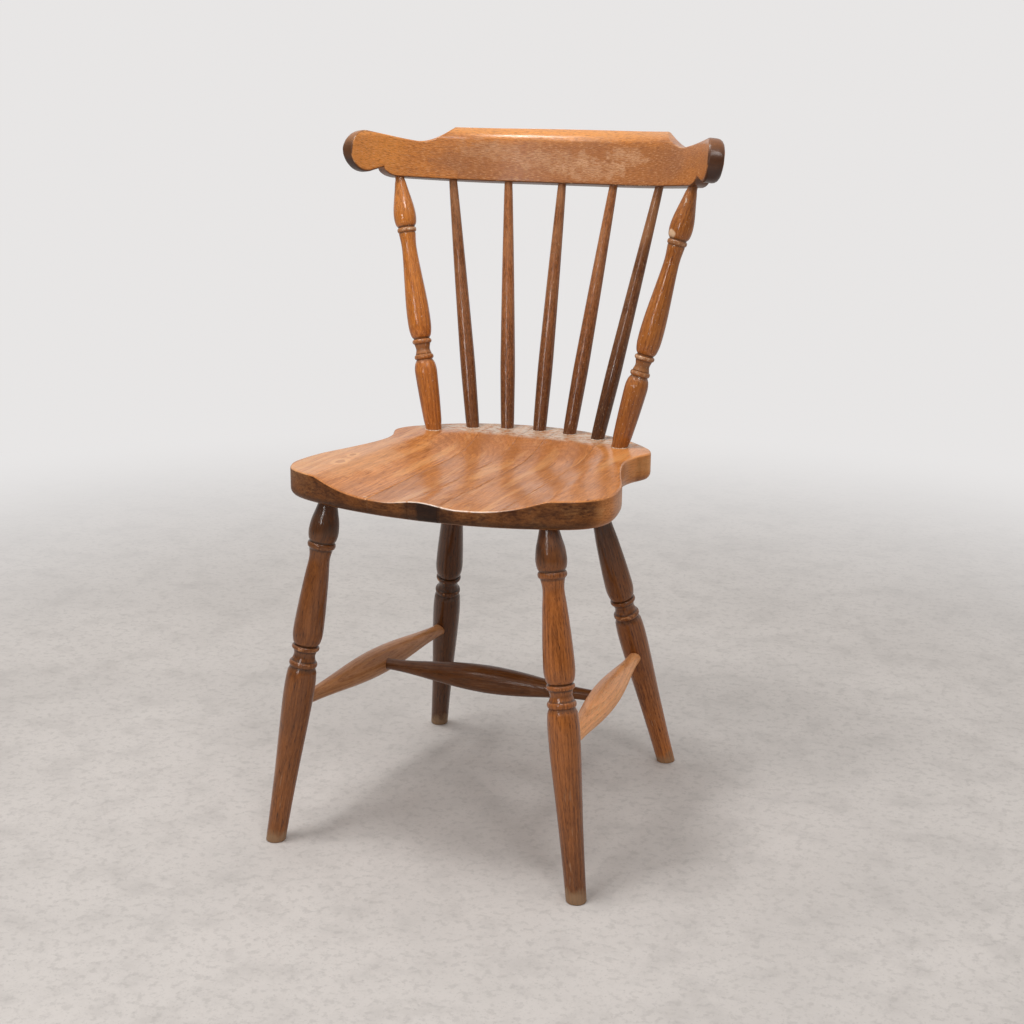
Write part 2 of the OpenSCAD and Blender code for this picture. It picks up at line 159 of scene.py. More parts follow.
class Finish(bpy.types.PropertyGroup):
    """Colours of the wood, varnish and wear, and of painted shade"""
    seat_light: tone((0.66, 0.25, 0.066), "Seat, early wood")
    seat_dark: tone((0.31, 0.094, 0.018), "Seat, late wood")
    edge_dark: tone((0.06, 0.018, 0.005), "Seat, end grain")
    leg_light: tone((0.34, 0.108, 0.021), "Legs, early wood")
    leg_dark: tone((0.11, 0.03, 0.005), "Legs, late wood")
    side_light: tone((0.6, 0.27, 0.105), "Side stretchers, early wood")
    side_dark: tone((0.26, 0.095, 0.026), "Side stretchers, late wood")
    post_light: tone((0.68, 0.235, 0.042), "Posts, early wood")
    post_dark: tone((0.3, 0.08, 0.01), "Posts, late wood")
    spindle_light: tone((0.36, 0.125, 0.036), "Spindles, early wood")
    spindle_dark: tone((0.13, 0.036, 0.008), "Spindles, late wood")
    rail_light: tone((0.72, 0.26, 0.05), "Crest rail, early wood")
    rail_dark: tone((0.36, 0.112, 0.022), "Crest rail, late wood")
    bare: tone((0.62, 0.4, 0.235), "Bare wood")
    # Dirt in hollows, and also painted shade under the seat's edge and at the feet of the
    # spindles
    grime: tone((0.035, 0.016, 0.008), "Grime and shade")
    dust: tone((0.64, 0.54, 0.43), "Dust")


class StageLook(bpy.types.PropertyGroup):
    """Floor, backdrop and lights"""
    floor: tone((0.6, 0.56, 0.53), "Floor")
    backdrop: tone((0.805, 0.79, 0.785), "Backdrop")
    ambient: number(0.72, "Light from overhead")
    front_dim: number(0.22, "Light from the front of the room")
    overhead: number(22.5, "Overhead lamp", "POWER")
    front_lamps: number(10, "Front lamps", "POWER")
    strip: number(9, "Tall front lamp", "POWER")


# ---- Selection and modelling ----

def pick(*pieces):
    """Leaves object mode with only these pieces selected."""
    if bpy.context.object and bpy.context.object.mode != "OBJECT":
        bpy.ops.object.mode_set(mode="OBJECT")
    bpy.ops.object.select_all(action="DESELECT")
    for piece in pieces:
        piece.select_set(True)
    if pieces:
        bpy.context.view_layer.objects.active = pieces[0]


def edit(piece, mode="FACE", select="SELECT"):
    """Opens a piece for editing with all or none of it selected."""
    pick(piece)
    bpy.ops.object.mode_set(mode="EDIT")
    bpy.ops.mesh.select_mode(type=mode)
    bpy.ops.mesh.select_all(action=select)


def extrude(rise):
    """Extrudes the selected faces upward."""
    bpy.ops.mesh.extrude_region_move(TRANSFORM_OT_translate={"value": (0, 0, rise)})


def narrow(factor, centre):
    """Scales the selection sideways about a centre."""
    bpy.ops.transform.resize(value=(factor, factor, 1), center_override=centre)


def select_in(piece, kind, wanted):
    """Selects only the wanted edges or faces of a piece that is being edited."""
    bpy.ops.mesh.select_mode(type=kind)
    bpy.ops.mesh.select_all(action="DESELECT")
    mesh = bmesh.from_edit_mesh(piece.data)
    for item in mesh.edges if kind == "EDGE" else mesh.faces:
        item.select_set(wanted(item))
    bmesh.update_edit_mesh(piece.data)


def close_up(piece, angle):
    """Merges doubles, turns faces outward and smooths all but sharp edges."""
    edit(piece, "VERT")
    bpy.ops.mesh.remove_doubles(threshold=1e-6)
    bpy.ops.mesh.normals_make_consistent(inside=False)
    bpy.ops.object.mode_set(mode="OBJECT")
    bpy.ops.object.shade_smooth_by_angle(angle=math.radians(angle))


def copy_of(piece, name):
    """A copy of a piece with its own mesh."""
    pick(piece)
    bpy.ops.object.duplicate(linked=False)
    twin = bpy.context.object
    twin.name = twin.data.name = name
    return twin


def corners(piece):
    """The piece's vertices as an array."""
    places = np.empty(len(piece.data.vertices) * 3)
    piece.data.vertices.foreach_get("co", places)
    return places.reshape(-1, 3)


def move_corners(piece, places):
    """Puts the piece's vertices at these places."""
    piece.data.vertices.foreach_set("co", np.ascontiguousarray(places, dtype=np.float32).ravel())
    piece.data.update()


def note(piece, **stored):
    """Stores numbers or places for the vertices, one name each; a lone number is for all."""
    count = len(piece.data.vertices)
    for name, values in stored.items():
        values = np.asarray(values, dtype=np.float32)
        is_place = values.ndim == 2
        layer = piece.data.attributes.new(name, "FLOAT_VECTOR" if is_place else "FLOAT", "POINT")
        if not is_place:
            values = np.broadcast_to(values, count).copy()
        layer.data.foreach_set("vector" if is_place else "value", values.ravel())


def finish_piece(piece, node, material):
    """Gives a piece its material and its place in the frame."""
    piece.data.materials.clear()
    piece.data.materials.append(material)
    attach(piece, "root")
    if node:
        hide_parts(node)


# ---- Curves ----

def smooth_curve(points, steps=6):
    """Smooth curve through the points, with so many steps from each to the next."""
    points = [np.array(p, dtype=float) for p in points]
    last = len(points) - 1
    found = []
    for i in range(last):
        a, b, c, d = points[max(i - 1, 0)], points[i], points[i + 1], points[min(i + 2, last)]
        for t in np.arange(steps) / steps:
            found.append((2 * b + (c - a) * t + (2 * a - 5 * b + 4 * c - d) * t * t
                          + (3 * b - a - 3 * c + d) * t ** 3) / 2)
    return found + [points[last]]


def bead(at, half, low, high):
    """Half round ring on a turning."""
    angles = np.radians(range(0, 181, 15))
    return [(at - half * math.cos(a), low + (high - low) * math.sin(a)) for a in angles]


def leg_profile(reach, tenon_r=11, tenon_h=22):
    """Profile of a leg of that length, in millimetres from the floor up."""
    k = reach / LEG_PATTERN
    turned = (smooth_curve([[0, FOOT_R], [50, 13], [100, 14.7], [150, 17], [180, 18.1],
                            [203, 18.2], [217, 17.2]])
              + bead(226.5, 3.5, 14.6, 16.8)
              + smooth_curve([[230.5, 14.4], [237, 12.7], [243, 14]])
              + bead(246.5, 3, 14, 16.5)
              + smooth_curve([[250, 14], [254, 16.3], [264, 17.9], [280, 17.6], [300, 16.6],
                              [332, 14.4], [355, 12.3], [367, 13.8]])
              + bead(372.5, 3.5, 14.8, 16.6)
              + smooth_curve([[377, 15], [381, 16.8], [389, 17.7], [401, 16.5], [411, 14]]))
    return ([(-40, FOOT_R), (-12, FOOT_R)] + [(z * k, r) for z, r in turned]
            + [(reach - 3, tenon_r), (reach + 0.6 * tenon_h, tenon_r)])


def with_tenons(turned, pattern, reach, foot_r, top_r):
    """Stretches a back stick's turned part to its length and adds its tenons."""
    k = reach / pattern
    return ([(-14, foot_r), (3.5, foot_r)] + [(z * k, r) for z, r in turned]
            + [(reach - 3, top_r), (reach + 9, top_r)])


def post_profile(reach):
    """Profile of a back post of that length, in millimetres from the seat up."""
    turned = (smooth_curve([[12, 11.6], [38, 13.1], [64, 14.1], [78, 14.3], [86, 12.8]])
              + bead(94, 3.2, 10.2, 12.4)
              + smooth_curve([[98, 10.4], [104, 8.9], [110, 10.2]])
              + bead(114, 3, 10.2, 12.5)
              + smooth_curve([[118, 10.4], [122, 12.8], [132, 14.6], [148, 14.9], [168, 14.1],
                              [194, 12.2], [221, 10.2], [238, 9.6], [253, 10.8]])
              + bead(258, 3, 10.6, 12.3)
              + smooth_curve([[261.8, 10.6], [266, 13.3], [275, 14.4], [286, 13.6],
                              [298, 11.4], [311, 8.7], [318, 7.4]]))
    return with_tenons(turned, POST_PATTERN, reach, 10.4, 6)


def spindle_profile(reach):
    """Profile of a plain spindle of that length, in millimetres from the seat up."""
    turned = smooth_curve([[10, 8.8], [39, 9.2], [78, 9.6], [117, 9.2], [195, 8], [260, 6.7],
                           [304, 5.7]])
    return with_tenons(turned, SPINDLE_PATTERN, reach, 8.5, 5.3)


def cigar_profile(reach, inset, end_r, mid_r, steps=36):
    """Profile of a stretcher of that length, in millimetres."""
    shares = [k / steps for k in range(steps + 1)]
    bulge = [(inset + (reach - 2 * inset) * t,
              end_r + (mid_r - end_r) * math.sin(math.pi * t) ** 1.7) for t in shares]
    return [(5, end_r)] + bulge + [(reach - 5, end_r)]


# ---- Places on the chair ----

def box_shift(scene):
    """How far the whole chair is moved so that its box is centred front to back."""
    back = scene.chair_back
    rear = (back.rail_y + back.rail_t / 2 * math.cos(back.rail_lean)
            + back.rail_h * math.sin(back.rail_lean))
    return -(scene.chair_legs.front_foot_y - FOOT_R * MM + rear) / 2


def moved(scene, x, y, z):
    """A place on the chair, moved with its box."""
    return Vector((x, y + box_shift(scene), z))


def leg_ends(scene, side, is_front):
    """Foot and top of a leg's axis."""
    legs, seat = scene.chair_legs, scene.chair_seat
    end = "front" if is_front else "back"
    return [moved(scene, side * getattr(legs, f"{end}_{part}_x"),
                  getattr(legs, f"{end}_{part}_y"), z)
            for part, z in (("foot", 0), ("top", seat.height - seat.thick))]


def side_stretcher_ends(scene, side):
    """Where a side stretcher meets the axes of its two legs."""
    legs = scene.chair_legs
    found = []
    for is_front, z in ((True, legs.side_front_z), (False, legs.side_back_z)):
        foot, top = leg_ends(scene, side, is_front)
        found.append(foot + (top - foot) * (z / top.z))
    return found


def on_rail(scene, s, h, out):
    """Places on the rail: s along it, h above its lower edge, out in front of its middle."""
    back, seat = scene.chair_back, scene.chair_seat
    middle_r, middle_half, end_r = back.rail_mid_r, back.rail_mid_half, back.rail_end_r
    turn = math.asin(middle_half / middle_r)
    middle = np.abs(s) < middle_r * turn
    a = np.where(middle, s / middle_r,
                 np.sign(s) * (turn + (np.abs(s) - middle_r * turn) / end_r))
    past = end_r * (np.sin(np.abs(a)) - math.sin(turn))
    x = np.where(middle, middle_r * np.sin(a), np.sign(s) * (middle_half + past))
    y = np.where(middle, -middle_r * (1 - np.cos(a)),
                 -middle_r * (1 - math.cos(turn)) - end_r * (math.cos(turn) - np.cos(a)))
    x = x - out * np.sin(a)
    y = y - out * np.cos(a)
    lean_cos, lean_sin = math.cos(back.rail_lean), math.sin(back.rail_lean)
    return np.stack([x, back.rail_y + y * lean_cos + h * lean_sin + box_shift(scene),
                     seat.height + back.back_h - y * lean_sin + h * lean_cos], axis=-1)


def lower_edge(back, s):
    """Droop of the rail's lower edge at s."""
    return -back.rail_droop * (abs(s) / back.post_s) ** 2


def head_in_rail(scene, s):
    """Where a stick's axis ends inside the rail."""
    h = lower_edge(scene.chair_back, s) + HEAD_IN_RAIL * MM
    return Vector(on_rail(scene, s, h, 0))


def post_ends(scene, side):
    """Foot and head of a post's axis."""
    back = scene.chair_back
    foot = moved(scene, side * back.post_x, back.post_y, scene.chair_seat.height)
    return foot, head_in_rail(scene, side * back.post_s)


def spindle_ends(scene, i):
    """Foot and head of a spindle's axis, counted from the middle one."""
    back = scene.chair_back
    x = i * back.spindle_pitch
    y = back.spindle_y - back.spindle_arc_r + math.sqrt(back.spindle_arc_r ** 2 - x ** 2)
    return moved(scene, x, y, scene.chair_seat.height), head_in_rail(scene, i * back.rail_pitch)


def seat_outline(seat):
    """The seat's outline, once round."""
    w, back, front = seat.half_w / MM, seat.back / MM, seat.front / MM
    half = [[0, back], [43, back - 4.5], [92, back - 19], [131, back - 41]]
    half += [[w - inset, back - y] for inset, y in (
        (39, 69), (29.5, 84), (26.5, 98), (31, 112), (36.5, 126), (39.5, 150), (34.5, 180),
        (21, 222), (6.5, 262))]
    half += [[w - inset, y - front] for inset, y in ((0, 92), (2, 70), (13, 49), (33, 34))]
    half += [[x, y - front] for x, y in ((136, 22), (97, 10.5), (50, 2.7), (0, 0))]
    half = np.array(smooth_curve(half, 8)) * MM
    return np.concatenate([half, half[-2:0:-1] * (-1, 1)])


def saddle_depth(seat, x, y):
    """How deep the saddle is carved at a place on the seat."""
    forward = np.clip((seat.bowl_y - y) / (seat.bowl_y + seat.front), 0, 1)
    deepest = seat.bowl_depth + (seat.groove_depth - seat.bowl_depth) * forward
    middle = seat.groove_x - seat.bowl_draw * (1 - forward)
    across = np.maximum(np.abs(x) - middle, 0) / seat.groove_half_w
    behind = np.maximum(y - seat.bowl_y, 0) / seat.bowl_back
    ahead = np.clip((-y - seat.ridge_start) / (seat.front - seat.ridge_start), 0, 1)
    near = np.clip((seat.ridge_half_w - np.abs(x)) / seat.ridge_half_w, 0, 1)
    ridge = seat.ridge_h * ahead ** 2 * (3 - 2 * ahead) * near ** 2 * (3 - 2 * near)
    carved = deepest * (1 - across ** 2 - behind ** 2) - ridge
    return (carved + np.sqrt(carved ** 2 + seat.rim_soft ** 2)) / 2


# ---- Turning on the lathe ----

def turn_piece(name, profile, around=48):
    """Turns a profile given in millimetres, ring by ring, round Z, and notes its wear."""
    pick()
    rings = [(z * MM, r * MM) for z, r in profile]
    bpy.ops.mesh.primitive_circle_add(vertices=around, radius=rings[0][1], fill_type="NGON",
                                      location=(0, 0, rings[0][0]))
    piece = bpy.context.object
    piece.name = name
    bpy.ops.object.transform_apply(location=True, rotation=True, scale=True)
    edit(piece)
    for (z0, r0), (z1, r1) in zip(rings, rings[1:]):
        extrude(z1 - z0)
        narrow(r1 / r0, (0, 0, z1))
    close_up(piece, 60)
    note_turning(piece, np.array(rings))
    return piece


def note_turning(piece, rings, reach=3 * MM, strong=0.5 * MM):
    """Stores where the turning is proud, and so worn, and where it is hollow, and so dirty."""
    here = corners(piece)[:, 2]
    radii = [np.interp(here + o, rings[:, 0], rings[:, 1]) for o in np.linspace(-reach, reach, 9)]
    proud = (radii[4] - np.mean(radii, axis=0)) / strong
    note(piece, worn=np.clip(proud, 0, 1), grime=np.clip(-proud, 0, 1))


def note_grain(piece, seed, darkness, fade=0.0):
    """Stores the piece's own place in its timber, with the grain along Z, and its tone: a
    darkness for all of it and a fade along its height, which on some pieces paint light and
    shade.
    """
    places = corners(piece)
    in_log = (0.034 + 0.013 * math.sin(seed * 2.1), 0.016 + 0.011 * math.cos(seed * 1.7),
              seed * 0.83)
    rise = np.clip(places[:, 2] / 0.42, 0, 1)
    note(piece, grain=places + in_log, tone=fade * (0.5 - rise) - darkness)


def stand_along(piece, a, b, spin=0.0):
    """Turns Z of a piece towards b and puts its origin at a, with its place in its mesh."""
    pick(piece)
    turn = (b - a).to_track_quat("Z", "Y").to_matrix().to_4x4()
    piece.matrix_world = Matrix.Translation(a) @ turn @ Matrix.Rotation(spin, 4, "Z")
    bpy.ops.object.transform_apply(location=True, rotation=True, scale=True)


# ---- Shader nodes ----

def fill(node, sockets):
    """Sets a node's sockets, or joins them to what flows in."""
    for key, value in sockets.items():
        socket = node.inputs[key]
        if isinstance(value, Flow):
            node.id_data.links.new(value.socket, socket)
        else:
            socket.default_value = (*value[:3], 1) if socket.type == "RGBA" else value


def add(tree, kind, sockets=None, **settings):
    """A new node with its settings and its sockets."""
    node = tree.nodes.new("ShaderNode" + kind)
    for key, value in settings.items():
        setattr(node, key, value)
    fill(node, sockets or {})
    return node


class Flow:
    """A value on its way through a shader tree: sums and products of it become nodes."""

    def __init__(self, socket):
        self.socket = socket
        self.tree = socket.id_data

    def math(self, operation, a, b=0.0):
        """Result of a Math node."""
        return Flow(add(self.tree, "Math", {0: a, 1: b}, operation=operation).outputs[0])

    def __add__(self, other):
        return self.math("ADD", self, other)

    def __sub__(self, other):
        return self.math("SUBTRACT", self, other)

    def __rsub__(self, other):
        return self.math("SUBTRACT", other, self)

    def __mul__(self, other):
        return self.math("MULTIPLY", self, other)

    def larger(self, other):
        """The larger of two."""
        return self.math("MAXIMUM", self, other)

    def limited(self):
        """The same result, kept from 0 to 1."""
        self.socket.node.use_clamp = True
        return self

    def vector(self, operation, other=(0, 0, 0), output="Vector"):
        """Result of a Vector Math node."""
        node = add(self.tree, "VectorMath", {0: self, 1: other}, operation=operation)
        return Flow(node.outputs[output])

    def long(self):
        """Length of a vector."""
        return self.vector("LENGTH", output="Value")

    def part(self, axis):
        """One part of a place."""
        return Flow(add(self.tree, "SeparateXYZ", {0: self}).outputs[axis])

    def blend(self, a, b):
        """Colour a, mixed with b by this amount."""
        return Flow(add(self.tree, "Mix", {0: self, 6: a, 7: b}, data_type="RGBA").outputs[2])

    def ramp(self, low, high, to_low=0.0, to_high=1.0):
        """This value taken smoothly from low..high to to_low..to_high."""
        node = add(self.tree, "MapRange", {
            "Value": self, "From Min": low, "From Max": high, "To Min": to_low,
            "To Max": to_high}, interpolation_type="SMOOTHSTEP")
        return Flow(node.outputs["Result"])

    def noise(self, waves, detail=2.0, roughness=0.5):
        """Noise from about 0 to 1 at this place, with so many waves a metre each way."""
        waves = waves if isinstance(waves, tuple) else (waves, waves, waves)
        return Flow(add(self.tree, "TexNoise", {
            "Vector": self.vector("MULTIPLY", waves), "Scale": 1.0, "Detail": detail,
            "Roughness": roughness}).outputs["Fac"])


def source(tree, kind, output, **settings):
    """A value that a tree starts from."""
    return Flow(add(tree, kind, **settings).outputs[output])


def facing_up(tree):
    """How much a surface faces up, from -1 to 1."""
    return source(tree, "NewGeometry", "Normal").part("Z")


def new_material(name):
    """A material with an empty tree."""
    material = bpy.data.materials.new(name)
    material.use_nodes = True
    material.node_tree.nodes.clear()
    return material


def shade(tree, shader, end="OutputMaterial"):
    """Joins a shader to the end of its tree."""
    add(tree, end, {"Surface": Flow(shader.outputs[0])})


def new_group(name, inputs, outputs):
    """A shader node group with named sockets; gives its inputs and its end."""
    group = bpy.data.node_groups.new(name, "ShaderNodeTree")
    kinds = {1: "NodeSocketFloat", 3: "NodeSocketVector", 4: "NodeSocketColor"}
    for label, default in inputs.items():
        kind = kinds[len(default) if isinstance(default, tuple) else 1]
        socket = group.interface.new_socket(name=label, in_out="INPUT", socket_type=kind)
        socket.default_value = default
    for label, size in outputs.items():
        group.interface.new_socket(name=label, in_out="OUTPUT", socket_type=kinds[size])
    given = {s.name: Flow(s) for s in group.nodes.new("NodeGroupInput").outputs if s.name}
    return given, group.nodes.new("NodeGroupOutput")


def use(tree, name, sockets):
    """Places a node group in a tree; gives its outputs."""
    node = add(tree, "Group", node_tree=bpy.data.node_groups[name])
    fill(node, sockets)
    return {s.name: Flow(s) for s in node.outputs}


def build_timber_group():
    """Growth rings, fibres and pores of the wood, with the grain along Z."""
    given, end = new_group("Timber", {
        "Place": (0, 0, 0), "Light": (0.5, 0.2, 0.06, 1), "Dark": (0.2, 0.07, 0.02, 1),
        "Ring width": 0.004, "Warp": 0.01, "Rings": 0.5, "Fibres": 0.5, "Blotch": 0.3,
        "Flecks": 0.3, "Pores": 0.35}, {"Color": 4, "Height": 1})
    place = given["Place"]
    sway = place.noise((9, 9, 2.2)) - 0.5 + (place.noise((60, 60, 7), 1.0) - 0.5) * 0.16
    from_pith = place.vector("MULTIPLY", (1, 1, 0)).long() + sway * given["Warp"]
    years = from_pith.math("DIVIDE", from_pith, given["Ring width"])
    year = years.math("FRACT", years)
    late = year.ramp(0.15, 0.86) * year.ramp(1.0, 0.9)
    fibre = place.noise((620, 620, 22), 3.0, 0.6).ramp(0.32, 0.68)
    flecks = place.noise((800, 800, 190), 2.0, 0.6).ramp(0.36, 0.64)
    dark = (late - 0.35) * given["Rings"] + (fibre - 0.5) * given["Fibres"]
    dark = dark + (place.noise((16, 16, 5)) - 0.5) * given["Blotch"]
    dark = (dark + (flecks - 0.5) * given["Flecks"] + 0.42).limited()
    pores = place.noise((1100, 1100, 70), 1.0).ramp(0.6, 0.68) * (late * 0.55 + 0.45)
    deep = given["Dark"].vector("MULTIPLY", (0.45, 0.4, 0.4))
    wood = (pores * given["Pores"]).blend(dark.blend(given["Light"], given["Dark"]), deep)
    fill(end, {"Color": wood, "Height": fibre * 0.6 - pores})


def build_patch_group():
    """A ragged patch round a centre: 1 inside, 0 outside."""
    given, end = new_group("Patch", {
        "Place": (0, 0, 0), "Centre": (0, 0, 0), "Reach": (0.01, 0.01, 0.01), "Ragged": 0.4,
        "Grain size": 0.004}, {"Mask": 1})
    place = given["Place"]
    away = place.vector("SUBTRACT", given["Centre"]).vector("DIVIDE", given["Reach"]).long()
    grit = place.vector("DIVIDE", given["Grain size"]).noise(1, 3.0)
    fill(end, {"Mask": (away + (grit - 0.5) * (given["Ragged"] * 4)).ramp(1.1, 0.75)})


def build_wear_group():
    """Varnish rubbed off what is proud, and dirt left in what is hollow."""
    given, end = new_group("Rubbed varnish", {
        "Place": (0, 0, 0), "Color": (0.5, 0.2, 0.06, 1), "Worn": 0.0, "Grime and shade": 0.0,
        "Bare": (0.6, 0.4, 0.2, 1), "Dirt": (0.03, 0.015, 0.01, 1), "Amount": 0.5},
        {"Color": 4, "Bare mask": 1})
    place, worn = given["Place"], given["Worn"]
    wide = place.noise((26, 26, 20))
    push = place.noise((210, 210, 150), 4.0, 0.65) * 0.6 + wide * 0.5 + worn * given["Amount"]
    bare = push.ramp(0.8, 1.0) * worn.ramp(0, 0.2)
    dirty = given["Grime and shade"] * wide.ramp(0.2, 0.6, 0.45, 0.75)
    left = dirty.blend(given["Color"], given["Dirt"])
    fill(end, {"Color": bare.blend(left, given["Bare"]), "Bare mask": bare})


def build_dust_group():
    """Thin dust that lies on what faces up."""
    given, end = new_group("Dust", {
        "Place": (0, 0, 0), "Color": (0.5, 0.2, 0.06, 1), "Dust": (0.5, 0.42, 0.35, 1),
        "Amount": 0.2}, {"Color": 4, "Mask": 1})
    lies = facing_up(end.id_data).ramp(-0.1, 0.9, 0.25, 1.0)
    cloud = given["Place"].noise(70, 4.0, 0.65).ramp(0.3, 0.75)
    mask = (lies * cloud * given["Amount"]).limited()
    fill(end, {"Color": mask.blend(given["Color"], given["Dust"]), "Mask": mask})


def build_groups():
    """Builds each shared effect once."""
    if "Timber" not in bpy.data.node_groups:
        build_timber_group()
        build_patch_group()
        build_wear_group()
        build_dust_group()


class Varnish:
    """A varnished wood in the making: colour, roughness and relief of one material."""

    def __init__(self, name, light, dark, **timber):
        build_groups()
        self.material = new_material(name)
        self.tree = self.material.node_tree
        self.grain = source(self.tree, "Attribute", "Vector", attribute_name="grain")
        self.object = source(self.tree, "TexCoord", "Object")
        self.height = self.object.part("Z")
        wood = use(self.tree, "Timber", {
            "Place": self.grain, "Light": light, "Dark": dark,
            **{key.capitalize().replace("_", " "): value for key, value in timber.items()}})
        self.colour = wood["Color"].vector("MULTIPLY", self.value("tone") + 1)
        self.fibres = wood["Height"]
        self.rough = 0.0

    def value(self, name):
        """A number stored on the piece."""
        return source(self.tree, "Attribute", "Fac", attribute_name=name)

    def patch(self, centre, reach, ragged=0.4, grain_size=0.004, place=None):
        """Mask of a ragged patch."""
        return use(self.tree, "Patch", {
            "Place": place or self.object, "Centre": centre, "Reach": reach, "Ragged": ragged,
            "Grain size": grain_size})["Mask"]

    def tint(self, mask, wanted, strength=1.0):
        """Colours what a mask shows."""
        self.colour = (mask * strength).blend(self.colour, wanted)

    def roughen(self, mask, strength):
        """Adds to the roughness where a mask shows."""
        self.rough = mask * strength + self.rough

    def wear(self, look, amount, bare=None, dirt=None):
        """Rubs the proud places bare, fills the hollows with dirt and lays dust on top."""
        worn = use(self.tree, "Rubbed varnish", {
            "Place": self.grain, "Color": self.colour, "Worn": self.value("worn"),
            "Grime and shade": self.value("grime"), "Bare": bare or look.bare,
            "Dirt": dirt or look.grime, "Amount": amount})
        self.colour = worn["Color"]
        self.roughen(worn["Bare mask"], 0.25)

    def done(self, look, roughness, coat, coat_roughness, relief, shine):
        """Lays the dust and joins everything to the shader."""
        dusty = use(self.tree, "Dust", {"Place": self.object, "Color": self.colour,
                                        "Dust": look.dust, "Amount": 0.03})
        self.roughen(dusty["Mask"], 0.35)
        hand_smears = self.object.noise(22, 3.0).ramp(0.3, 0.7)
        self.roughen(hand_smears, 0.12)
        rough = (self.rough + roughness).limited()
        bump = Flow(add(self.tree, "Bump", {"Height": self.fibres, "Distance": relief,
                                            "Strength": 1.0}).outputs["Normal"])
        shade(self.tree, add(self.tree, "BsdfPrincipled", {
            "Base Color": dusty["Color"], "Roughness": rough, "Normal": bump,
            "Coat Weight": (coat + 0.4 - rough).limited(), "Coat Roughness": coat_roughness,
            "Coat IOR": shine, "Coat Normal": bump, "IOR": 1.45, "Specular IOR Level": 0.06}))
        return self.material


# ---- Seat ----

def seat_material(scene):
    """Satin varnish on the glued seat boards."""
    look, seat = scene.chair_finish, scene.chair_seat
    wood = Varnish("Saddle varnish", look.seat_light, look.seat_dark, rings=0.17, fibres=0.5,
                   blotch=0.8, ring_width=0.0031, warp=0.014, flecks=0.15, pores=0.62)
    here, edge = wood.object, wood.value("edge")
    ear = wood.patch((0.165, 0.07, 0.456), (0.055, 0.06, 0.03), 0.2, 0.03)
    wood.tint(ear, (0.86, 0.34, 0.09), 0.35)
    veins = wood.grain.noise((55, 55, 3.5), 3.0, 0.6)
    wood.tint(veins.ramp(0.5, 0.64), (0.27, 0.085, 0.016), 0.32)
    wood.tint(veins.ramp(0.47, 0.34), (0.84, 0.44, 0.17), 0.3)
    pale_board = wood.patch((-0.165, -0.09, 0.456), (0.06, 0.11, 0.04), 0.2, 0.03)
    wood.tint(pale_board, (0.84, 0.5, 0.26), 0.22)
    # Painted shade: the back of the bowl darkened
    bowl = wood.patch((0, 0.07, 0.443), (0.115, 0.045, 0.03), 0.1, 0.03)
    wood.tint(bowl, (0.3, 0.09, 0.018), 0.35)
    stains = here.noise((150, 150, 420), 4.0, 0.7) * 0.9 + here.noise((26, 26, 60), 3.0, 0.6)
    wood.tint(edge.ramp(0.15, 0.8) * stains.ramp(0.7, 1.15, 1.05, 0.72), look.edge_dark, 0.95)
    # Painted shade: the lowest part of the edge darkened under the seat
    wood.tint(wood.height.ramp(0.436, 0.424) * edge, look.grime, 0.6)
    wood.roughen(edge, 0.3)
    for reach, strength in ((0.015, 0.75), (0.034, 0.45)):
        front = wood.patch((0.012, -0.226, 0.434), (reach, 0.03, 0.03), 0.12, 0.008)
        wood.tint(front * edge, (0.014, 0.007, 0.005), strength)
    for centre, reach, strength in (((-0.15, -0.125, 0.453), 0.011, 0.55),
                                    ((-0.153, -0.087, 0.453), 0.0075, 0.6)):
        knot = wood.patch(centre, (reach, reach * 1.7, 0.03), 0.2, 0.012)
        heart = wood.patch(centre, (reach * 0.5, reach * 0.9, 0.03), 0.2, 0.008)
        wood.tint(knot, (0.8, 0.4, 0.15), strength)
        wood.tint(heart, look.seat_dark, strength)
    scratch = wood.patch((-0.071, -0.213, 0.446), (0.004, 0.0012, 0.01), 0.15, 0.002)
    wood.tint(scratch, look.bare, 0.9)
    across = here.part("X")
    for line in (seat.glue_a, seat.glue_b, seat.glue_c, seat.glue_d):
        away = across.math("ABSOLUTE", across - line)
        wood.tint(away.ramp(0.0005, 0.0001), look.seat_dark, 0.12)
    strip = wood.value("strip")
    wood.tint(strip * here.noise((95, 160, 95), 5.0, 0.8).ramp(0.38, 0.58), look.dust, 0.8)
    wood.roughen(strip, 0.12)
    wood.wear(look, 0.3, bare=(0.8, 0.36, 0.12))
    # Painted highlight: a near-white line along the middle of the front arris
    gleam = wood.value("gleam") * here.noise(170, 4.0, 0.7).ramp(0.3, 0.5)
    wood.tint(gleam, (0.95, 0.86, 0.76), 0.85)
    return wood.done(look, 0.34, coat=0.66, coat_roughness=0.19, relief=0.00007, shine=1.43)


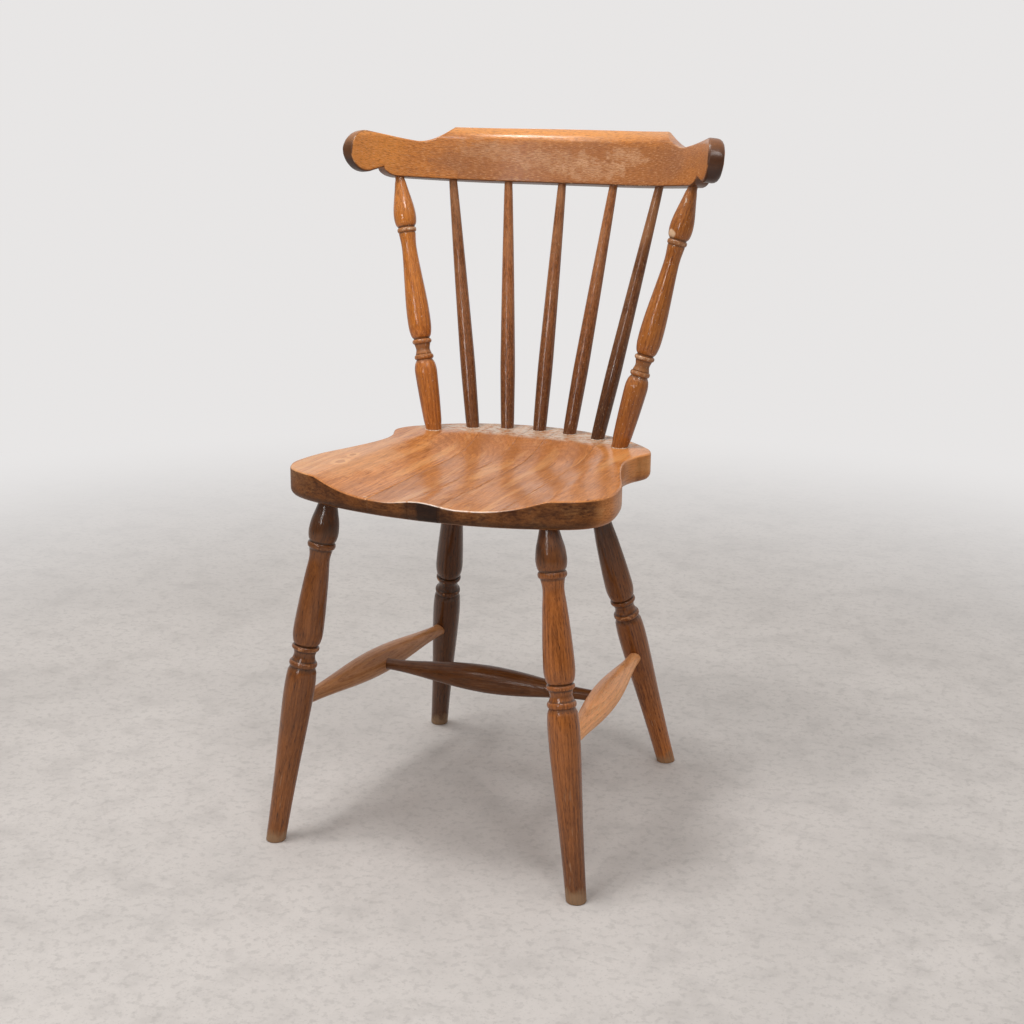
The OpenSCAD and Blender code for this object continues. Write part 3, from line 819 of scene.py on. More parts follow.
class CHAIR_OT_make_seat(bpy.types.Operator):
    """Carves the saddle seat and saws it along its glue lines"""
    bl_idname = "chair.make_seat"
    bl_label = "Make the seat"

    def execute(self, context):
        seat = context.scene.chair_seat
        shift = box_shift(context.scene)
        whole = self.slab(seat, seat_outline(seat))
        self.carve(seat, whole)
        places = corners(whole)
        places[:, 1] += shift
        move_corners(whole, places)
        self.note_edges(seat, whole, shift)
        material = seat_material(context.scene)
        lines = [seat.glue_a, seat.glue_b, seat.glue_c, seat.glue_d]
        for i in range(5):
            board = copy_of(whole, f"carved_board_{i + 1}")
            if i > 0:
                self.saw(board, lines[i - 1], clear_inner=True)
            if i < 4:
                self.saw(board, lines[i], clear_outer=True)
            self.note_timber(seat, board, i, shift)
            finish_piece(board, f"seat_board_{i + 1}", material)
        bpy.data.objects.remove(whole)
        return {"FINISHED"}

    def slab(self, seat, outline, rings=62):
        """Flat seat blank with rounded edges and rings across its top."""
        pick()
        under = seat.height - seat.thick
        bpy.ops.mesh.primitive_circle_add(vertices=len(outline), radius=seat.half_w,
                                          fill_type="NGON")
        piece = bpy.context.object
        piece.name = "seat_blank"
        move_corners(piece, np.column_stack([outline, np.full(len(outline), under)]))
        edit(piece)
        sides = (seat.low_round + 0.5 * MM, 5 * MM, 5 * MM, 6 * MM)
        for rise in sides + (seat.thick - sum(sides),):
            extrude(rise)
        for z, width, steps in ((under, seat.low_round, 5), (seat.height, seat.top_round, 4)):
            select_in(piece, "EDGE", lambda e: (all(abs(v.co.z - z) < 1e-5 for v in e.verts)
                                                and e.calc_face_angle(0) > 1))
            bpy.ops.mesh.bevel(offset=width, segments=steps, affect="EDGES")
        select_in(piece, "FACE", lambda f: (len(f.verts) > 50
                                            and f.calc_center_median().z > seat.height - 1e-4))
        for left in range(rings, 1, -1):
            extrude(0)
            narrow((left - 1) / left, (0, 0, seat.height))
        bpy.ops.mesh.poke()
        close_up(piece, 50)
        return piece

    def carve(self, seat, piece):
        """Lowers the top into the saddle, and the side walls with it."""
        places = corners(piece)
        z = places[:, 2].copy()
        base = seat.height - seat.thick + seat.low_round
        brow = seat.height - seat.top_round
        depth = saddle_depth(seat, places[:, 0], places[:, 1])
        wall = (z > base + 1e-5) & (z < brow - 1e-5)
        places[:, 2] = np.where(z >= brow - 1e-5, z - depth, z)
        places[wall, 2] = base + (z - base)[wall] * ((brow - base - depth) / (brow - base))[wall]
        move_corners(piece, places)

    def saw(self, board, x, **clear):
        """Cuts a board off at a glue line and closes the cut."""
        edit(board)
        bpy.ops.mesh.bisect(plane_co=(x, 0, 0), plane_no=(1, 0, 0), use_fill=True, **clear)
        bpy.ops.object.mode_set(mode="OBJECT")

    def note_edges(self, seat, whole, shift):
        """Stores the end grain, worn rim and dusty back strip of the whole seat, and where a
        highlight is painted along the middle of the front arris.
        """
        places = corners(whole)
        x, y = places[:, 0], places[:, 1] - shift
        normal = np.empty(len(x) * 3)
        whole.data.vertices.foreach_get("normal", normal)
        normal = np.abs(normal.reshape(-1, 3))
        depth = saddle_depth(seat, x, y)
        below = seat.height - depth - places[:, 2]
        inside = below > seat.top_round * 0.6
        rim = np.sin(np.pi * np.clip((1 - normal[:, 2]) * 1.2, 0, 1)) * ~inside
        flat_back = np.clip((y - 0.088) / 0.02, 0, 1) * np.clip(1 - depth / 0.002, 0, 1)
        middle = np.clip(1.8 - np.abs(x - 0.03) / 0.05, 0, 1) * (y < -0.12)
        note(whole, edge=np.where(inside, np.clip(0.2 + 1.3 * normal[:, 1] ** 2, 0, 1), 0),
             worn=rim * (depth < 0.5 * MM), strip=flat_back * (below < 0.001), grime=0,
             gleam=rim * middle)

    def note_timber(self, seat, board, i, shift):
        """Stores how each board was sawn from its log."""
        x, y, z = corners(board).T
        y = y - shift
        tilt = (0.035, 0.05, 0.09, -0.03, 0.06)[i]
        pith_x = (-0.125, -0.1, 0.02, 0.06, 0.17)[i]
        pith_z = (-0.075, -0.16, -0.12, -0.14, -0.1)[i]
        note(board, grain=np.column_stack([x - pith_x, z - seat.height - pith_z + y * tilt,
                                           y + i * 1.37]),
             tone=(0.02, -0.05, -0.05, -0.05, -0.02)[i])


# ---- Legs and stretchers ----

def leg_material(scene):
    """Dark varnish, rubbed at the beads and bare at the feet."""
    look = scene.chair_finish
    wood = Varnish("Leg varnish", look.leg_light, look.leg_dark, rings=0.22, fibres=0.35,
                   blotch=1.2, ring_width=0.0045, warp=0.02, flecks=0.2, pores=0.95)
    # Painted shade: the tops of the legs darkened where the seat shades them
    seat_shade_on_legs = (wood.height.ramp(0.35, 0.395)
                * wood.grain.noise((60, 60, 25), 3.0, 0.6).ramp(0.3, 0.7, 0.7, 1))
    wood.tint(seat_shade_on_legs, (0.03, 0.011, 0.004), 0.9)
    level = wood.height + wood.object.noise((70, 70, 40), 4.0, 0.6) * -0.035
    wood.tint(level.ramp(0.004, -0.01), (0.3, 0.19, 0.105), 0.7)
    wood.roughen(level.ramp(0.01, -0.006), 0.3)
    scuffs = wood.grain.noise((260, 260, 26), 3.0, 0.7).ramp(0.6, 0.72)
    wood.tint(scuffs * wood.height.ramp(0.22, 0.05), (0.4, 0.24, 0.13), 0.4)
    wood.wear(look, 0.22, bare=look.side_light)
    return wood.done(look, 0.32, coat=0.8, coat_roughness=0.1, relief=0.00008, shine=1.5)


def stretcher_material(look, name, light, dark, scuffed):
    """Satin varnish of a stretcher, scuffed by feet."""
    wood = Varnish(name, light, dark, rings=0.25, fibres=0.18, blotch=0.8, ring_width=0.0045,
                   warp=0.016, flecks=0.12, pores=0.5)
    streaks = wood.grain.noise((420, 420, 40), 4.0, 0.7)
    scuffs = streaks.ramp(0.48, 0.68) * wood.value("scuff")
    wood.tint(scuffs, (0.74, 0.46, 0.27), scuffed)
    wood.roughen(scuffs, scuffed)
    wood.wear(look, 0.2)
    return wood.done(look, 0.36, coat=0.6, coat_roughness=0.2, relief=0.00009, shine=1.43)


class CHAIR_OT_make_legs(bpy.types.Operator):
    """Turns the four legs and cuts their feet level"""
    bl_idname = "chair.make_legs"
    bl_label = "Make the legs"

    def execute(self, context):
        scene = context.scene
        material = leg_material(scene)
        # Darkness and fade of each leg, partly the wood's own tone and partly painted shade under
        # the seat
        tones = iter(((0.25, 0.1), (-0.25, -0.85), (0.67, 0), (0.1, 1.6)))
        seed = 1
        for is_front, place in ((True, "front"), (False, "back")):
            foot, top = leg_ends(scene, LEFT, is_front)
            master = turn_piece("leg_blank", leg_profile((top - foot).length / MM))
            for side in (LEFT, RIGHT):
                leg = copy_of(master, f"turned_leg_{place}_{SIDE_NAMES[side]}")
                note_grain(leg, seed, *next(tones))
                stand_along(leg, *leg_ends(scene, side, is_front), seed * 1.9)
                self.cut_foot(leg, scene.chair_legs.foot_round)
                finish_piece(leg, f"leg_{place}_{SIDE_NAMES[side]}", material)
                seed += 1
            bpy.data.objects.remove(master)
        return {"FINISHED"}

    def cut_foot(self, leg, width):
        """Saws the foot off level with the floor and rounds its edge."""
        edit(leg)
        bpy.ops.mesh.bisect(plane_co=(0, 0, width), plane_no=(0, 0, 1), use_fill=True,
                            clear_inner=True)
        mesh = bmesh.from_edit_mesh(leg.data)
        sole = min(mesh.faces, key=lambda f: (f.calc_center_median().z, -f.calc_area()))
        middle = sole.calc_center_median()
        radius = max((v.co - middle).length for v in sole.verts)
        lowest = sole.index
        select_in(leg, "FACE", lambda f: f.index == lowest)
        before, z = radius, width
        for a in np.radians((30, 60, 90)):
            inset = radius - width * (1 - math.cos(a))
            level = width * (1 - math.sin(a))
            extrude(level - z)
            narrow(inset / before, (middle.x, middle.y, level))
            before, z = inset, level
        bpy.ops.object.mode_set(mode="OBJECT")
        bpy.ops.object.shade_smooth_by_angle(angle=math.radians(60))


class CHAIR_OT_make_stretchers(bpy.types.Operator):
    """Turns the three stretchers"""
    bl_idname = "chair.make_stretchers"
    bl_label = "Make the stretchers"

    def execute(self, context):
        scene = context.scene
        legs, look = scene.chair_legs, scene.chair_finish
        material = stretcher_material(look, "Side stretcher varnish", look.side_light,
                                      look.side_dark, 0.55)
        a, b = side_stretcher_ends(scene, LEFT)
        master = turn_piece("stretcher_blank", cigar_profile(
            (b - a).length / MM, 22, legs.side_end_r / MM, legs.side_mid_r / MM))
        middles = []
        # Darkness and scuffing of each side stretcher; the right one's lightness is painted light
        # from the lamps on its side
        for side, darkness, scuff in ((LEFT, 0.14, 0.2), (RIGHT, -0.81, 1)):
            a, b = side_stretcher_ends(scene, side)
            piece = copy_of(master, f"turned_stretcher_{SIDE_NAMES[side]}")
            note_grain(piece, 6 + side, darkness)
            note(piece, scuff=scuff)
            stand_along(piece, a, b, side)
            finish_piece(piece, f"stretcher_{SIDE_NAMES[side]}", material)
            middles.append((a + b) / 2)
        bpy.data.objects.remove(master)
        a, b = middles
        piece = turn_piece("turned_stretcher_centre", cigar_profile(
            (b - a).length / MM, 20, legs.centre_end_r / MM, legs.centre_mid_r / MM))
        note_grain(piece, 9, 0.55)
        note(piece, scuff=1)
        stand_along(piece, a, b)
        finish_piece(piece, "stretcher_centre", stretcher_material(
            look, "Centre stretcher varnish", look.leg_light, look.leg_dark, 0.06))
        return {"FINISHED"}


# ---- Posts and spindles ----

def post_material(scene):
    """Glossy orange varnish, chipped at the beads."""
    look = scene.chair_finish
    wood = Varnish("Post varnish", look.post_light, look.post_dark, rings=0.22, fibres=0.45,
                   blotch=1.2, ring_width=0.0048, warp=0.02, flecks=0.3, pores=0.7)
    chip = wood.patch((0.1785, 0.118, 0.719), (0.006, 0.007, 0.006), 0.12, 0.005)
    wood.tint(chip, (0.75, 0.52, 0.33), 0.85)
    wood.roughen(chip, 0.25)
    # Painted highlight: a thin pale streak down the side of the right post near its top
    line = wood.patch((0.192, 0.1285, 0.753), (0.0022, 0.006, 0.012), 0.15, 0.002)
    wood.tint(line, (0.8, 0.66, 0.5), 0.6)
    collar = wood.value("collar")
    wood.tint(collar, (0.3, 0.135, 0.055), 0.6)
    wood.roughen(collar, 0.2)
    wood.wear(look, 0.27, bare=(0.72, 0.5, 0.32), dirt=(0.1, 0.04, 0.016))
    # Painted shade: darker towards the seat
    wood.tint(wood.height.ramp(0.56, 0.5), (0.12, 0.035, 0.008), 0.25)
    specks = wood.object.noise((520, 520, 380), 2.0, 0.6).ramp(0.66, 0.72)
    wood.tint(specks, (0.75, 0.58, 0.4), 0.45)
    return wood.done(look, 0.28, coat=0.9, coat_roughness=0.08, relief=0.00008, shine=1.5)


def spindle_material(scene):
    """Brown varnish, dusty towards the rail."""
    look = scene.chair_finish
    wood = Varnish("Spindle varnish", look.spindle_light, look.spindle_dark, rings=0.15,
                   fibres=0.4, blotch=1.0, ring_width=0.004, warp=0.014, flecks=0.75, pores=0.7)
    haze = wood.height.ramp(0.5, 0.76) * wood.object.noise((60, 60, 30), 3.0).ramp(0.25, 0.7)
    wood.tint(haze, (0.5, 0.24, 0.11), 0.45)
    wood.roughen(haze, 0.25)
    # Painted shade: darker towards the seat
    wood.tint(wood.height.ramp(0.66, 0.46), look.grime, 0.5)
    specks = wood.object.noise((620, 620, 300), 2.0, 0.6).ramp(0.62, 0.7)
    wood.tint(specks, (0.6, 0.38, 0.22), 0.35)
    return wood.done(look, 0.3, coat=0.9, coat_roughness=0.08, relief=0.00008, shine=1.5)


class CHAIR_OT_make_posts(bpy.types.Operator):
    """Turns the two posts of the back"""
    bl_idname = "chair.make_posts"
    bl_label = "Make the posts"

    def execute(self, context):
        scene = context.scene
        material = post_material(scene)
        foot, head = post_ends(scene, LEFT)
        reach = (head - foot).length / MM - HEAD_IN_RAIL
        master = turn_piece("post_blank", post_profile(reach))
        z = corners(master)[:, 2] / MM / reach * POST_PATTERN
        note(master, collar=np.exp(-((z - 104) / 13) ** 4) + np.exp(-((z - 258) / 5) ** 4))
        for side, darkness, fade in ((LEFT, 0.04, 0.3), (RIGHT, 0.3, 0)):
            post = copy_of(master, f"turned_post_{SIDE_NAMES[side]}")
            note_grain(post, 12 + side, darkness, fade)
            stand_along(post, *post_ends(scene, side), side * 0.9)
            finish_piece(post, f"post_{SIDE_NAMES[side]}", material)
        bpy.data.objects.remove(master)
        return {"FINISHED"}


class CHAIR_OT_make_spindles(bpy.types.Operator):
    """Turns the five spindles of the back"""
    bl_idname = "chair.make_spindles"
    bl_label = "Make the spindles"

    def execute(self, context):
        scene = context.scene
        material = spindle_material(scene)
        foot, head = spindle_ends(scene, 0)
        middle = (head - foot).length
        master = turn_piece("spindle_blank", spindle_profile(middle / MM - HEAD_IN_RAIL), 36)
        tones = ((0.18, 0.5), (-0.15, 0.1), (0.06, 0), (-0.1, -0.2), (0.47, 0))
        for i, (darkness, fade) in zip(range(-2, 3), tones):
            spindle = copy_of(master, f"turned_spindle_{i + 3}")
            foot, head = spindle_ends(scene, i)
            places = corners(spindle)
            places[:, 2] *= (head - foot).length / middle
            move_corners(spindle, places)
            note_grain(spindle, 20 + i, darkness, fade)
            stand_along(spindle, foot, head, i * 0.7)
            finish_piece(spindle, f"spindle_{i + 3}", material)
        bpy.data.objects.remove(master)
        return {"FINISHED"}


class CHAIR_OT_make_glue_beads(bpy.types.Operator):
    """Lays the thin rings of old glue and dust round the feet of the back"""
    bl_idname = "chair.make_glue_beads"
    bl_label = "Make the glue rings"

    def execute(self, context):
        scene = context.scene
        feet = [(post_ends(scene, side), 10.6 * MM) for side in (LEFT, RIGHT)]
        feet += [(spindle_ends(scene, i), 8.7 * MM) for i in range(-2, 3)]
        rings = [self.ring(foot, head, radius) for (foot, head), radius in feet]
        pick(*rings)
        bpy.ops.object.join()
        beads = bpy.context.object
        beads.name = beads.data.name = "glue_rings"
        close_up(beads, 80)
        finish_piece(beads, None, self.glue(scene.chair_finish))
        return {"FINISHED"}

    def ring(self, foot, head, radius):
        """Uneven ring of glue on the seat round one foot."""
        pick()
        bpy.ops.mesh.primitive_torus_add(major_radius=radius, minor_radius=0.9 * MM,
                                         major_segments=72, minor_segments=10)
        ring = bpy.context.object
        x, y, z = corners(ring).T
        angle = np.arctan2(y, x)
        swell = 0.75 + 0.3 * np.sin(3 * angle + foot.x * 90) * np.sin(7 * angle + foot.x * 400)
        z = z * swell * 0.8
        lean = (head.x - foot.x) / (head.z - foot.z)
        move_corners(ring, np.column_stack([x + foot.x + lean * z, y + foot.y, z + foot.z]))
        return ring

    def glue(self, look):
        """Dull dried glue with dust in it."""
        build_groups()
        material = new_material("Old glue")
        tree = material.node_tree
        place = source(tree, "TexCoord", "Object")
        lumps = place.noise(420, 3.0, 0.7)
        mixed = lumps.ramp(0.35, 0.62).blend((0.3, 0.15, 0.07), (0.72, 0.6, 0.47))
        dusty = use(tree, "Dust", {"Place": place, "Color": mixed, "Dust": look.dust,
                                   "Amount": 0.4})
        bump = add(tree, "Bump", {"Height": lumps, "Distance": 0.0003})
        shade(tree, add(tree, "BsdfPrincipled", {
            "Base Color": dusty["Color"], "Roughness": 0.7, "Normal": Flow(bump.outputs[0])}))
        return material


# ---- Crest rail ----

def rail_material(scene):
    """Honey varnish, scuffed pale where backs have rubbed it."""
    look = scene.chair_finish
    wood = Varnish("Rail varnish", look.rail_light, look.rail_dark, rings=0.12, fibres=0.15,
                   blotch=0.8, ring_width=0.0055, warp=0.016, flecks=0.35, pores=0.7)
    along, high, face = wood.value("along"), wood.value("high"), wood.value("face")
    flat = Flow(add(wood.tree, "CombineXYZ", {0: along, 1: high}).outputs[0])
    haze = wood.patch((0.02, 0.02, 0), (0.22, 0.036, 1), 0.15, 0.04, flat) * face
    wood.tint(haze, (0.26, 0.094, 0.034), 0.62)
    # Painted light and shade: the right part darker, the rolled top lighter and the left lobe
    # lighter orange
    wood.tint(along.ramp(0.11, 0.19), (0.26, 0.085, 0.022), 0.4)
    wood.tint(high.ramp(0.05, 0.062), (0.86, 0.37, 0.085), 0.4)
    wood.tint(along.ramp(-0.205, -0.24), (0.86, 0.33, 0.055), 0.35)
    cloud = flat.noise((45, 85, 1), 3.0, 0.6)
    dashes = flat.noise((140, 1150, 1), 3.0, 0.7)
    wood.tint(dashes.ramp(0.47, 0.37), (0.16, 0.05, 0.015), 0.6)
    pale_dashes = dashes.ramp(0.53, 0.64) * cloud.ramp(0.3, 0.6, 0.4, 1) * face
    wood.tint(pale_dashes, (0.76, 0.44, 0.21), 0.5)
    rubbed = (flat.noise((130, 1000, 1), 4.0, 0.8) * 1.4 + cloud * 0.45).ramp(0.82, 1.02) * face
    for centre, width, strength in (((-0.1, 0.038, 0), 0.045, 0.4),
                                    ((-0.01, 0.028, 0), 0.06, 0.45),
                                    ((0.045, 0.018, 0), 0.055, 0.55),
                                    ((0.098, 0.033, 0), 0.03, 0.6)):
        scuff = rubbed * wood.patch(centre, (width, 0.014, 1), 0.45, 0.012, flat)
        wood.tint(scuff, (0.62, 0.36, 0.2), strength)
        wood.roughen(scuff, 0.25)
    # Painted shade: what faces down is darkened
    wood.tint(facing_up(wood.tree).ramp(-0.15, -0.5), (0.06, 0.022, 0.01), 0.85)
    patchy = (wood.object.noise((120, 120, 50), 3.0, 0.6) - 0.5) * 0.5
    dark_end = (wood.value("end_grain") + patchy).ramp(0.2, 0.65)
    # The end grain is dark; that it grows darker towards the bottom of the scrolls is painted
    # shade
    dark_end = dark_end * high.ramp(0.036, 0.014, 0.55, 0.9)
    wood.tint(dark_end, (0.036, 0.01, 0.003))
    wood.roughen(dark_end, 0.15)
    wood.wear(look, 0.26, bare=(0.75, 0.47, 0.24))
    return wood.done(look, 0.3, coat=0.95, coat_roughness=0.25, relief=0.00006, shine=1.52)


class CHAIR_OT_make_crest_rail(bpy.types.Operator):
    """Shapes the crest rail straight and then bends it"""
    bl_idname = "chair.make_crest_rail"
    bl_label = "Make the crest rail"

    def execute(self, context):
        scene = context.scene
        stations = self.stations(scene.chair_back)
        sections = np.array([self.section(scene.chair_back, s) for s in stations], dtype=float)
        pick()
        bpy.ops.mesh.primitive_circle_add(vertices=sections.shape[1], radius=0.02,
                                          fill_type="NGON", location=(0, 0, 0))
        rail = bpy.context.object
        rail.name = "bent_crest_rail"
        edit(rail)
        for s0, s1 in zip(stations, stations[1:]):
            extrude(s1 - s0)
        bpy.ops.object.mode_set(mode="OBJECT")
        self.shape(scene, rail, np.array(stations), sections)
        close_up(rail, 35)
        finish_piece(rail, "crest_rail", rail_material(scene))
        return {"FINISHED"}

    def stations(self, back):
        """Distances along the rail at which its section is taken."""
        tip = back.scroll_s + back.scroll_r
        stops = ((0, 34), (back.shoulder_s - 0.012, 15), (back.shoulder_s + 0.01, 20),
                 (back.notch_s - back.notch_r, 12), (back.notch_s, 12), (back.scroll_s, 0))
        half = []
        for (start, count), (stop, _) in zip(stops, stops[1:]):
            half += list(np.linspace(start, stop, count)[:-1])
        half += [back.scroll_s + back.scroll_r * math.sin(a) for a in np.radians(range(0, 84, 4))]
        half += [tip - 0.0001, tip - 0.00002]
        return [-s for s in half[:0:-1]] + half

    def edges(self, back, s):
        """Heights of the lower and upper edge at s."""
        d = abs(s)
        reach = math.sqrt(max(back.scroll_r ** 2 - (d - back.scroll_s) ** 2, 0))
        start = back.notch_s - back.notch_r
        curl = back.scroll_s - back.scroll_r / 2
        if d < start:
            low = lower_edge(back, d)
        elif d < back.notch_s:
            rise = 1 - math.sqrt(1 - ((d - start) / back.notch_r) ** 2)
            low = lower_edge(back, start) + back.notch_h * rise
        elif d < curl:
            curl_reach = math.sqrt(back.scroll_r ** 2 - (curl - back.scroll_s) ** 2)
            low = back.scroll_h - curl_reach + 0.0065 * (curl - d) / (curl - back.notch_s)
        else:
            low = back.scroll_h - reach
        if d < back.shoulder_s:
            high = back.rail_h - back.rail_crown * (d / back.shoulder_s) ** 2
        elif d < back.neck_s:
            fall = ((back.neck_s - d) / (back.neck_s - back.shoulder_s)) ** 1.8
            high = back.neck_h + (back.rail_h - back.rail_crown - back.neck_h - 0.0006) * fall
        elif d < back.scroll_s:
            rise = (1 - math.cos(math.pi * (d - back.neck_s) / (back.scroll_s - back.neck_s))) / 2
            high = back.neck_h + (back.scroll_h + back.scroll_r - back.neck_h) * rise
        else:
            high = back.scroll_h + reach
        return low, high

    def section(self, back, s):
        """Section at s, point by point: out, up, how worn, how much face, how much edge."""
        low, high = self.edges(back, s)
        d = abs(s)
        at_end = min(max((d - back.notch_s + 0.01) / 0.03, 0), 1)
        arris = back.arris + (back.end_arris - back.arris) * at_end
        near_tip = max(arris - (back.scroll_s + back.scroll_r - d), 0) / arris
        half = back.rail_t / 2 - arris * (1 - math.sqrt(max(1 - near_tip ** 2, 0)))
        tall = max(high - low, 1e-6)
        edge = min(arris, tall * 0.3)
        behind = back.back_round + (back.end_back_round - back.back_round) * at_end
        behind = min(behind, tall * 0.45)
        behind_low = min(edge + (behind - edge) * at_end, tall * 0.45)
        crest = back.rail_h - back.rail_crown * (d / back.shoulder_s) ** 2
        roll_from = crest - back.roll
        into_roll = min(max((high - roll_from) / back.roll, 0), 1)
        top_edge = max(edge * math.sqrt(1 - into_roll ** 2), 0.2 * MM)

        def front(up):
            """How far out the front face stands at a height."""
            t = min(max((up - roll_from) / back.roll, 0), 1)
            return half - back.roll_w * t * t

        quarter = np.radians([0, 22.5, 45, 67.5, 90])
        found = [(half - edge * (1 - math.sin(a)), low + edge * (1 - math.cos(a)),
                  math.sin(2 * a), a > 1, 1 - math.sin(a)) for a in quarter]
        base, last = low + edge, high - top_edge
        face_top = max(min(last, roll_from), base + (last - base) * 0.4)
        for share_up in (0.04, 0.15, 0.27, 0.39, 0.51, 0.63, 0.75, 0.87, 0.96):
            up = base + (face_top - base) * share_up
            found.append((front(up), up, 0, 1, 0))
        for a in np.radians(np.linspace(0, 90, 14)):
            up = face_top + (last - face_top) * math.sin(a)
            found.append((front(up), up, 0, 1 - math.sin(a) * into_roll, 0))
        start, stop = front(last), min(front(high), front(last) - top_edge)
        found += [(stop + (start - stop) * math.cos(a), last + top_edge * math.sin(a),
                   math.sin(2 * a) * (1 - into_roll), math.cos(a), math.sin(a))
                  for a in quarter[1:]]
        found += [(-half + behind * (1 - math.sin(a)), high - behind * (1 - math.cos(a)),
                   0.7 * math.sin(2 * a), 0, math.cos(a)) for a in quarter]
        back_low, back_high = low + behind_low, high - behind
        found += [(-half, back_high + (back_low - back_high) * share_down, 0, 0, 0)
                  for share_down in (0.04, 0.25, 0.5, 0.75, 0.96)]
        found += [(-half + behind_low * (1 - math.cos(a)), low + behind_low * (1 - math.sin(a)),
                   0.7 * math.sin(2 * a), 0, math.sin(a)) for a in quarter]
        return found

    def shape(self, scene, rail, stations, sections):
        """Moves each ring to its section, stores the grain and bends the rail."""
        back = scene.chair_back
        places = corners(rail)
        row = np.abs(places[:, 2][:, None] - (stations - stations[0])[None, :]).argmin(axis=1)
        around = sections.shape[1]
        turn = np.arctan2(places[:, 1], places[:, 0]) / (2 * math.pi) * around
        column = np.round(turn).astype(int) % around
        out, h, worn, face, edge = sections[row, column].T
        s = stations[row]
        move_corners(rail, on_rail(scene, s, h, out))
        at_end = np.clip((np.abs(s) - back.notch_s) / (back.scroll_s - back.notch_s), 0, 1)
        tip = back.scroll_s + back.scroll_r
        inset = np.clip(1 - (tip - np.abs(s)) / back.end_arris, 0, 1)
        rounding = np.sin(np.pi * inset) * (out > 0) * (s < 0) * (h > back.scroll_h)
        note(rail, grain=np.column_stack([out + 0.05, h + 0.012, s + 2.2]), tone=0, grime=0,
             worn=np.maximum(worn * (1 - at_end * (s > 0)), rounding), face=face, along=s,
             high=h, end_grain=np.maximum(edge, inset) * at_end)


# ---- Stage ----

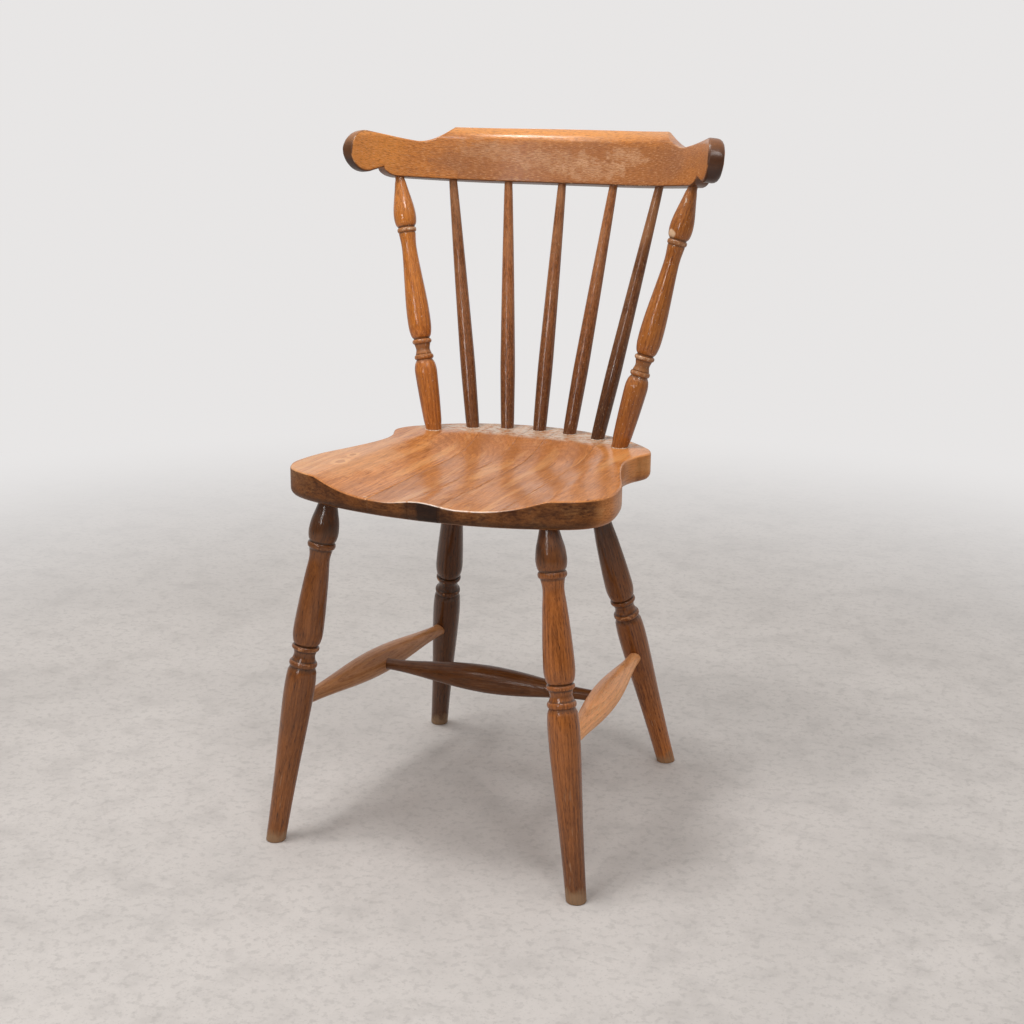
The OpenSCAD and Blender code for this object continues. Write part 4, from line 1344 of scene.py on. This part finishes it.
class CHAIR_OT_set_stage(bpy.types.Operator):
    """Puts up the floor, lamps, backdrop light and camera"""
    bl_idname = "chair.set_stage"
    bl_label = "Set the stage"

    def execute(self, context):
        scene = context.scene
        look = scene.chair_stage
        self.floor(look)
        self.backdrop(scene, look)
        for name, power, size, place in (
                ("overhead_lamp", look.overhead, (0.52, 0.44), (-0.4, -0.42, 2.65)),
                ("front_left_lamp", look.front_lamps, (0.5, 0.6), (-1.25, -2.0, 2.9)),
                ("front_right_lamp", look.front_lamps * 1.5, (0.5, 0.6), (1.5, -1.7, 2.9)),
                ("strip_lamp", look.strip, (0.2, 0.8), (-0.35, -2.8, 1.33))):
            self.lamp(scene, name, power, size, place)
        self.camera(scene)
        scene.view_settings.view_transform = "Standard"
        return {"FINISHED"}

    def floor(self, look):
        """Pale floor that fades into the backdrop."""
        pick()
        bpy.ops.mesh.primitive_plane_add(size=24, location=(0, 0, 0))
        floor = bpy.context.object
        floor.name = "floor"
        material = new_material("Pale floor")
        tree = material.node_tree
        place = source(tree, "TexCoord", "Object")
        worn_floor = tuple(c * 0.62 for c in look.floor)
        pale = look.floor
        for waves, detail, low, high, strength in ((3, 4.0, 0.35, 0.7, 0.25),
                                                   (17, 8.0, 0.45, 0.68, 0.3),
                                                   (90, 6.0, 0.5, 0.63, 0.35),
                                                   (260, 3.0, 0.58, 0.67, 0.4)):
            mottle = place.noise(waves, detail, 0.65).ramp(low, high)
            pale = (mottle * strength).blend(pale, worn_floor)
        ground = add(tree, "BsdfPrincipled", {"Base Color": pale, "Roughness": 0.75})
        beyond = add(tree, "Emission", {"Color": look.backdrop})
        seen = source(tree, "LightPath", "Is Camera Ray")
        shade(tree, self.either(tree, place.long().ramp(0.75, 2.3) * seen, ground, beyond))
        floor.data.materials.append(material)

    def either(self, tree, share, first, second):
        """Mix of two shaders."""
        return add(tree, "MixShader", {0: share, 1: Flow(first.outputs[0]),
                                       2: Flow(second.outputs[0])})

    def backdrop(self, scene, look):
        """Pale room, brightest overhead and behind the chair, seen plain by the camera."""
        world = bpy.data.worlds.new("Pale room")
        scene.world = world
        world.use_nodes = True
        tree = world.node_tree
        tree.nodes.clear()
        way = source(tree, "TexCoord", "Generated")
        rise = way.part("Z")
        around = way.part("Y").ramp(-0.5, 0.6, look.front_dim, 0.85)
        level = around + rise.ramp(0.1, 0.8) * (0.9 - around)
        plain = source(tree, "LightPath", "Is Camera Ray").larger(
            source(tree, "LightPath", "Is Transmission Ray"))
        seen = plain.larger(source(tree, "LightPath", "Is Glossy Ray"))
        lit = add(tree, "Background", {
            "Color": (1, 0.985, 0.97),
            "Strength": rise.ramp(0.0, 0.9, look.ambient * 0.45, look.ambient)})
        shown = add(tree, "Background", {"Color": look.backdrop, "Strength": plain.larger(level)})
        shade(tree, self.either(tree, seen, lit, shown), "OutputWorld")

    def lamp(self, scene, name, power, size, place):
        """Soft lamp of a size, aimed at the chair."""
        data = bpy.data.lights.new(name, "AREA")
        data.energy = power
        data.shape = "RECTANGLE"
        data.size, data.size_y = size
        lamp = bpy.data.objects.new(name, data)
        scene.collection.objects.link(lamp)
        lamp.location = place
        aim = Vector((0, 0, 0.4)) - Vector(place)
        lamp.rotation_euler = aim.to_track_quat("-Z", "Y").to_euler()

    def camera(self, scene):
        """Camera in front of the chair, a little to its right and above the seat."""
        data = bpy.data.cameras.new("camera")
        data.sensor_width = 36
        data.lens = 57.214
        data.clip_start = 0.05
        camera = bpy.data.objects.new("camera", data)
        scene.collection.objects.link(camera)
        heading, pitch, level = math.radians(22.3405), math.radians(75.1137), math.radians(0.5202)
        camera.matrix_world = (Matrix.Translation((0.757220, -1.793102, 0.897214))
                               @ Matrix.Rotation(heading, 4, "Z")
                               @ Matrix.Rotation(pitch, 4, "X")
                               @ Matrix.Rotation(level, 4, "Z"))
        scene.camera = camera


class CHAIR_PT_panel(bpy.types.Panel):
    """Lists the chair's pieces"""
    bl_idname = "CHAIR_PT_panel"
    bl_label = "Spindle back chair"
    bl_space_type = "VIEW_3D"
    bl_region_type = "UI"
    bl_category = "Chair"

    def draw(self, context):
        for operator in OPERATORS:
            self.layout.operator(operator.bl_idname)


SETTINGS = {
    "chair_seat": SeatSizes,
    "chair_legs": LegSizes,
    "chair_back": BackSizes,
    "chair_finish": Finish,
    "chair_stage": StageLook,
}
OPERATORS = (
    CHAIR_OT_make_seat,
    CHAIR_OT_make_legs,
    CHAIR_OT_make_stretchers,
    CHAIR_OT_make_posts,
    CHAIR_OT_make_spindles,
    CHAIR_OT_make_glue_beads,
    CHAIR_OT_make_crest_rail,
    CHAIR_OT_set_stage,
)


def register():
    for name, group in SETTINGS.items():
        bpy.utils.register_class(group)
        setattr(bpy.types.Scene, name, PointerProperty(type=group))
    for item in OPERATORS + (CHAIR_PT_panel,):
        bpy.utils.register_class(item)


def unregister():
    for item in (CHAIR_PT_panel,) + OPERATORS[::-1]:
        bpy.utils.unregister_class(item)
    for name, group in SETTINGS.items():
        delattr(bpy.types.Scene, name)
        bpy.utils.unregister_class(group)


def main():
    """Builds the whole chair and its stage."""
    register()
    bpy.ops.chair.make_seat()
    bpy.ops.chair.make_legs()
    bpy.ops.chair.make_stretchers()
    bpy.ops.chair.make_posts()
    bpy.ops.chair.make_spindles()
    bpy.ops.chair.make_glue_beads()
    bpy.ops.chair.make_crest_rail()
    bpy.ops.chair.set_stage()


if __name__ == "__main__":
    main()
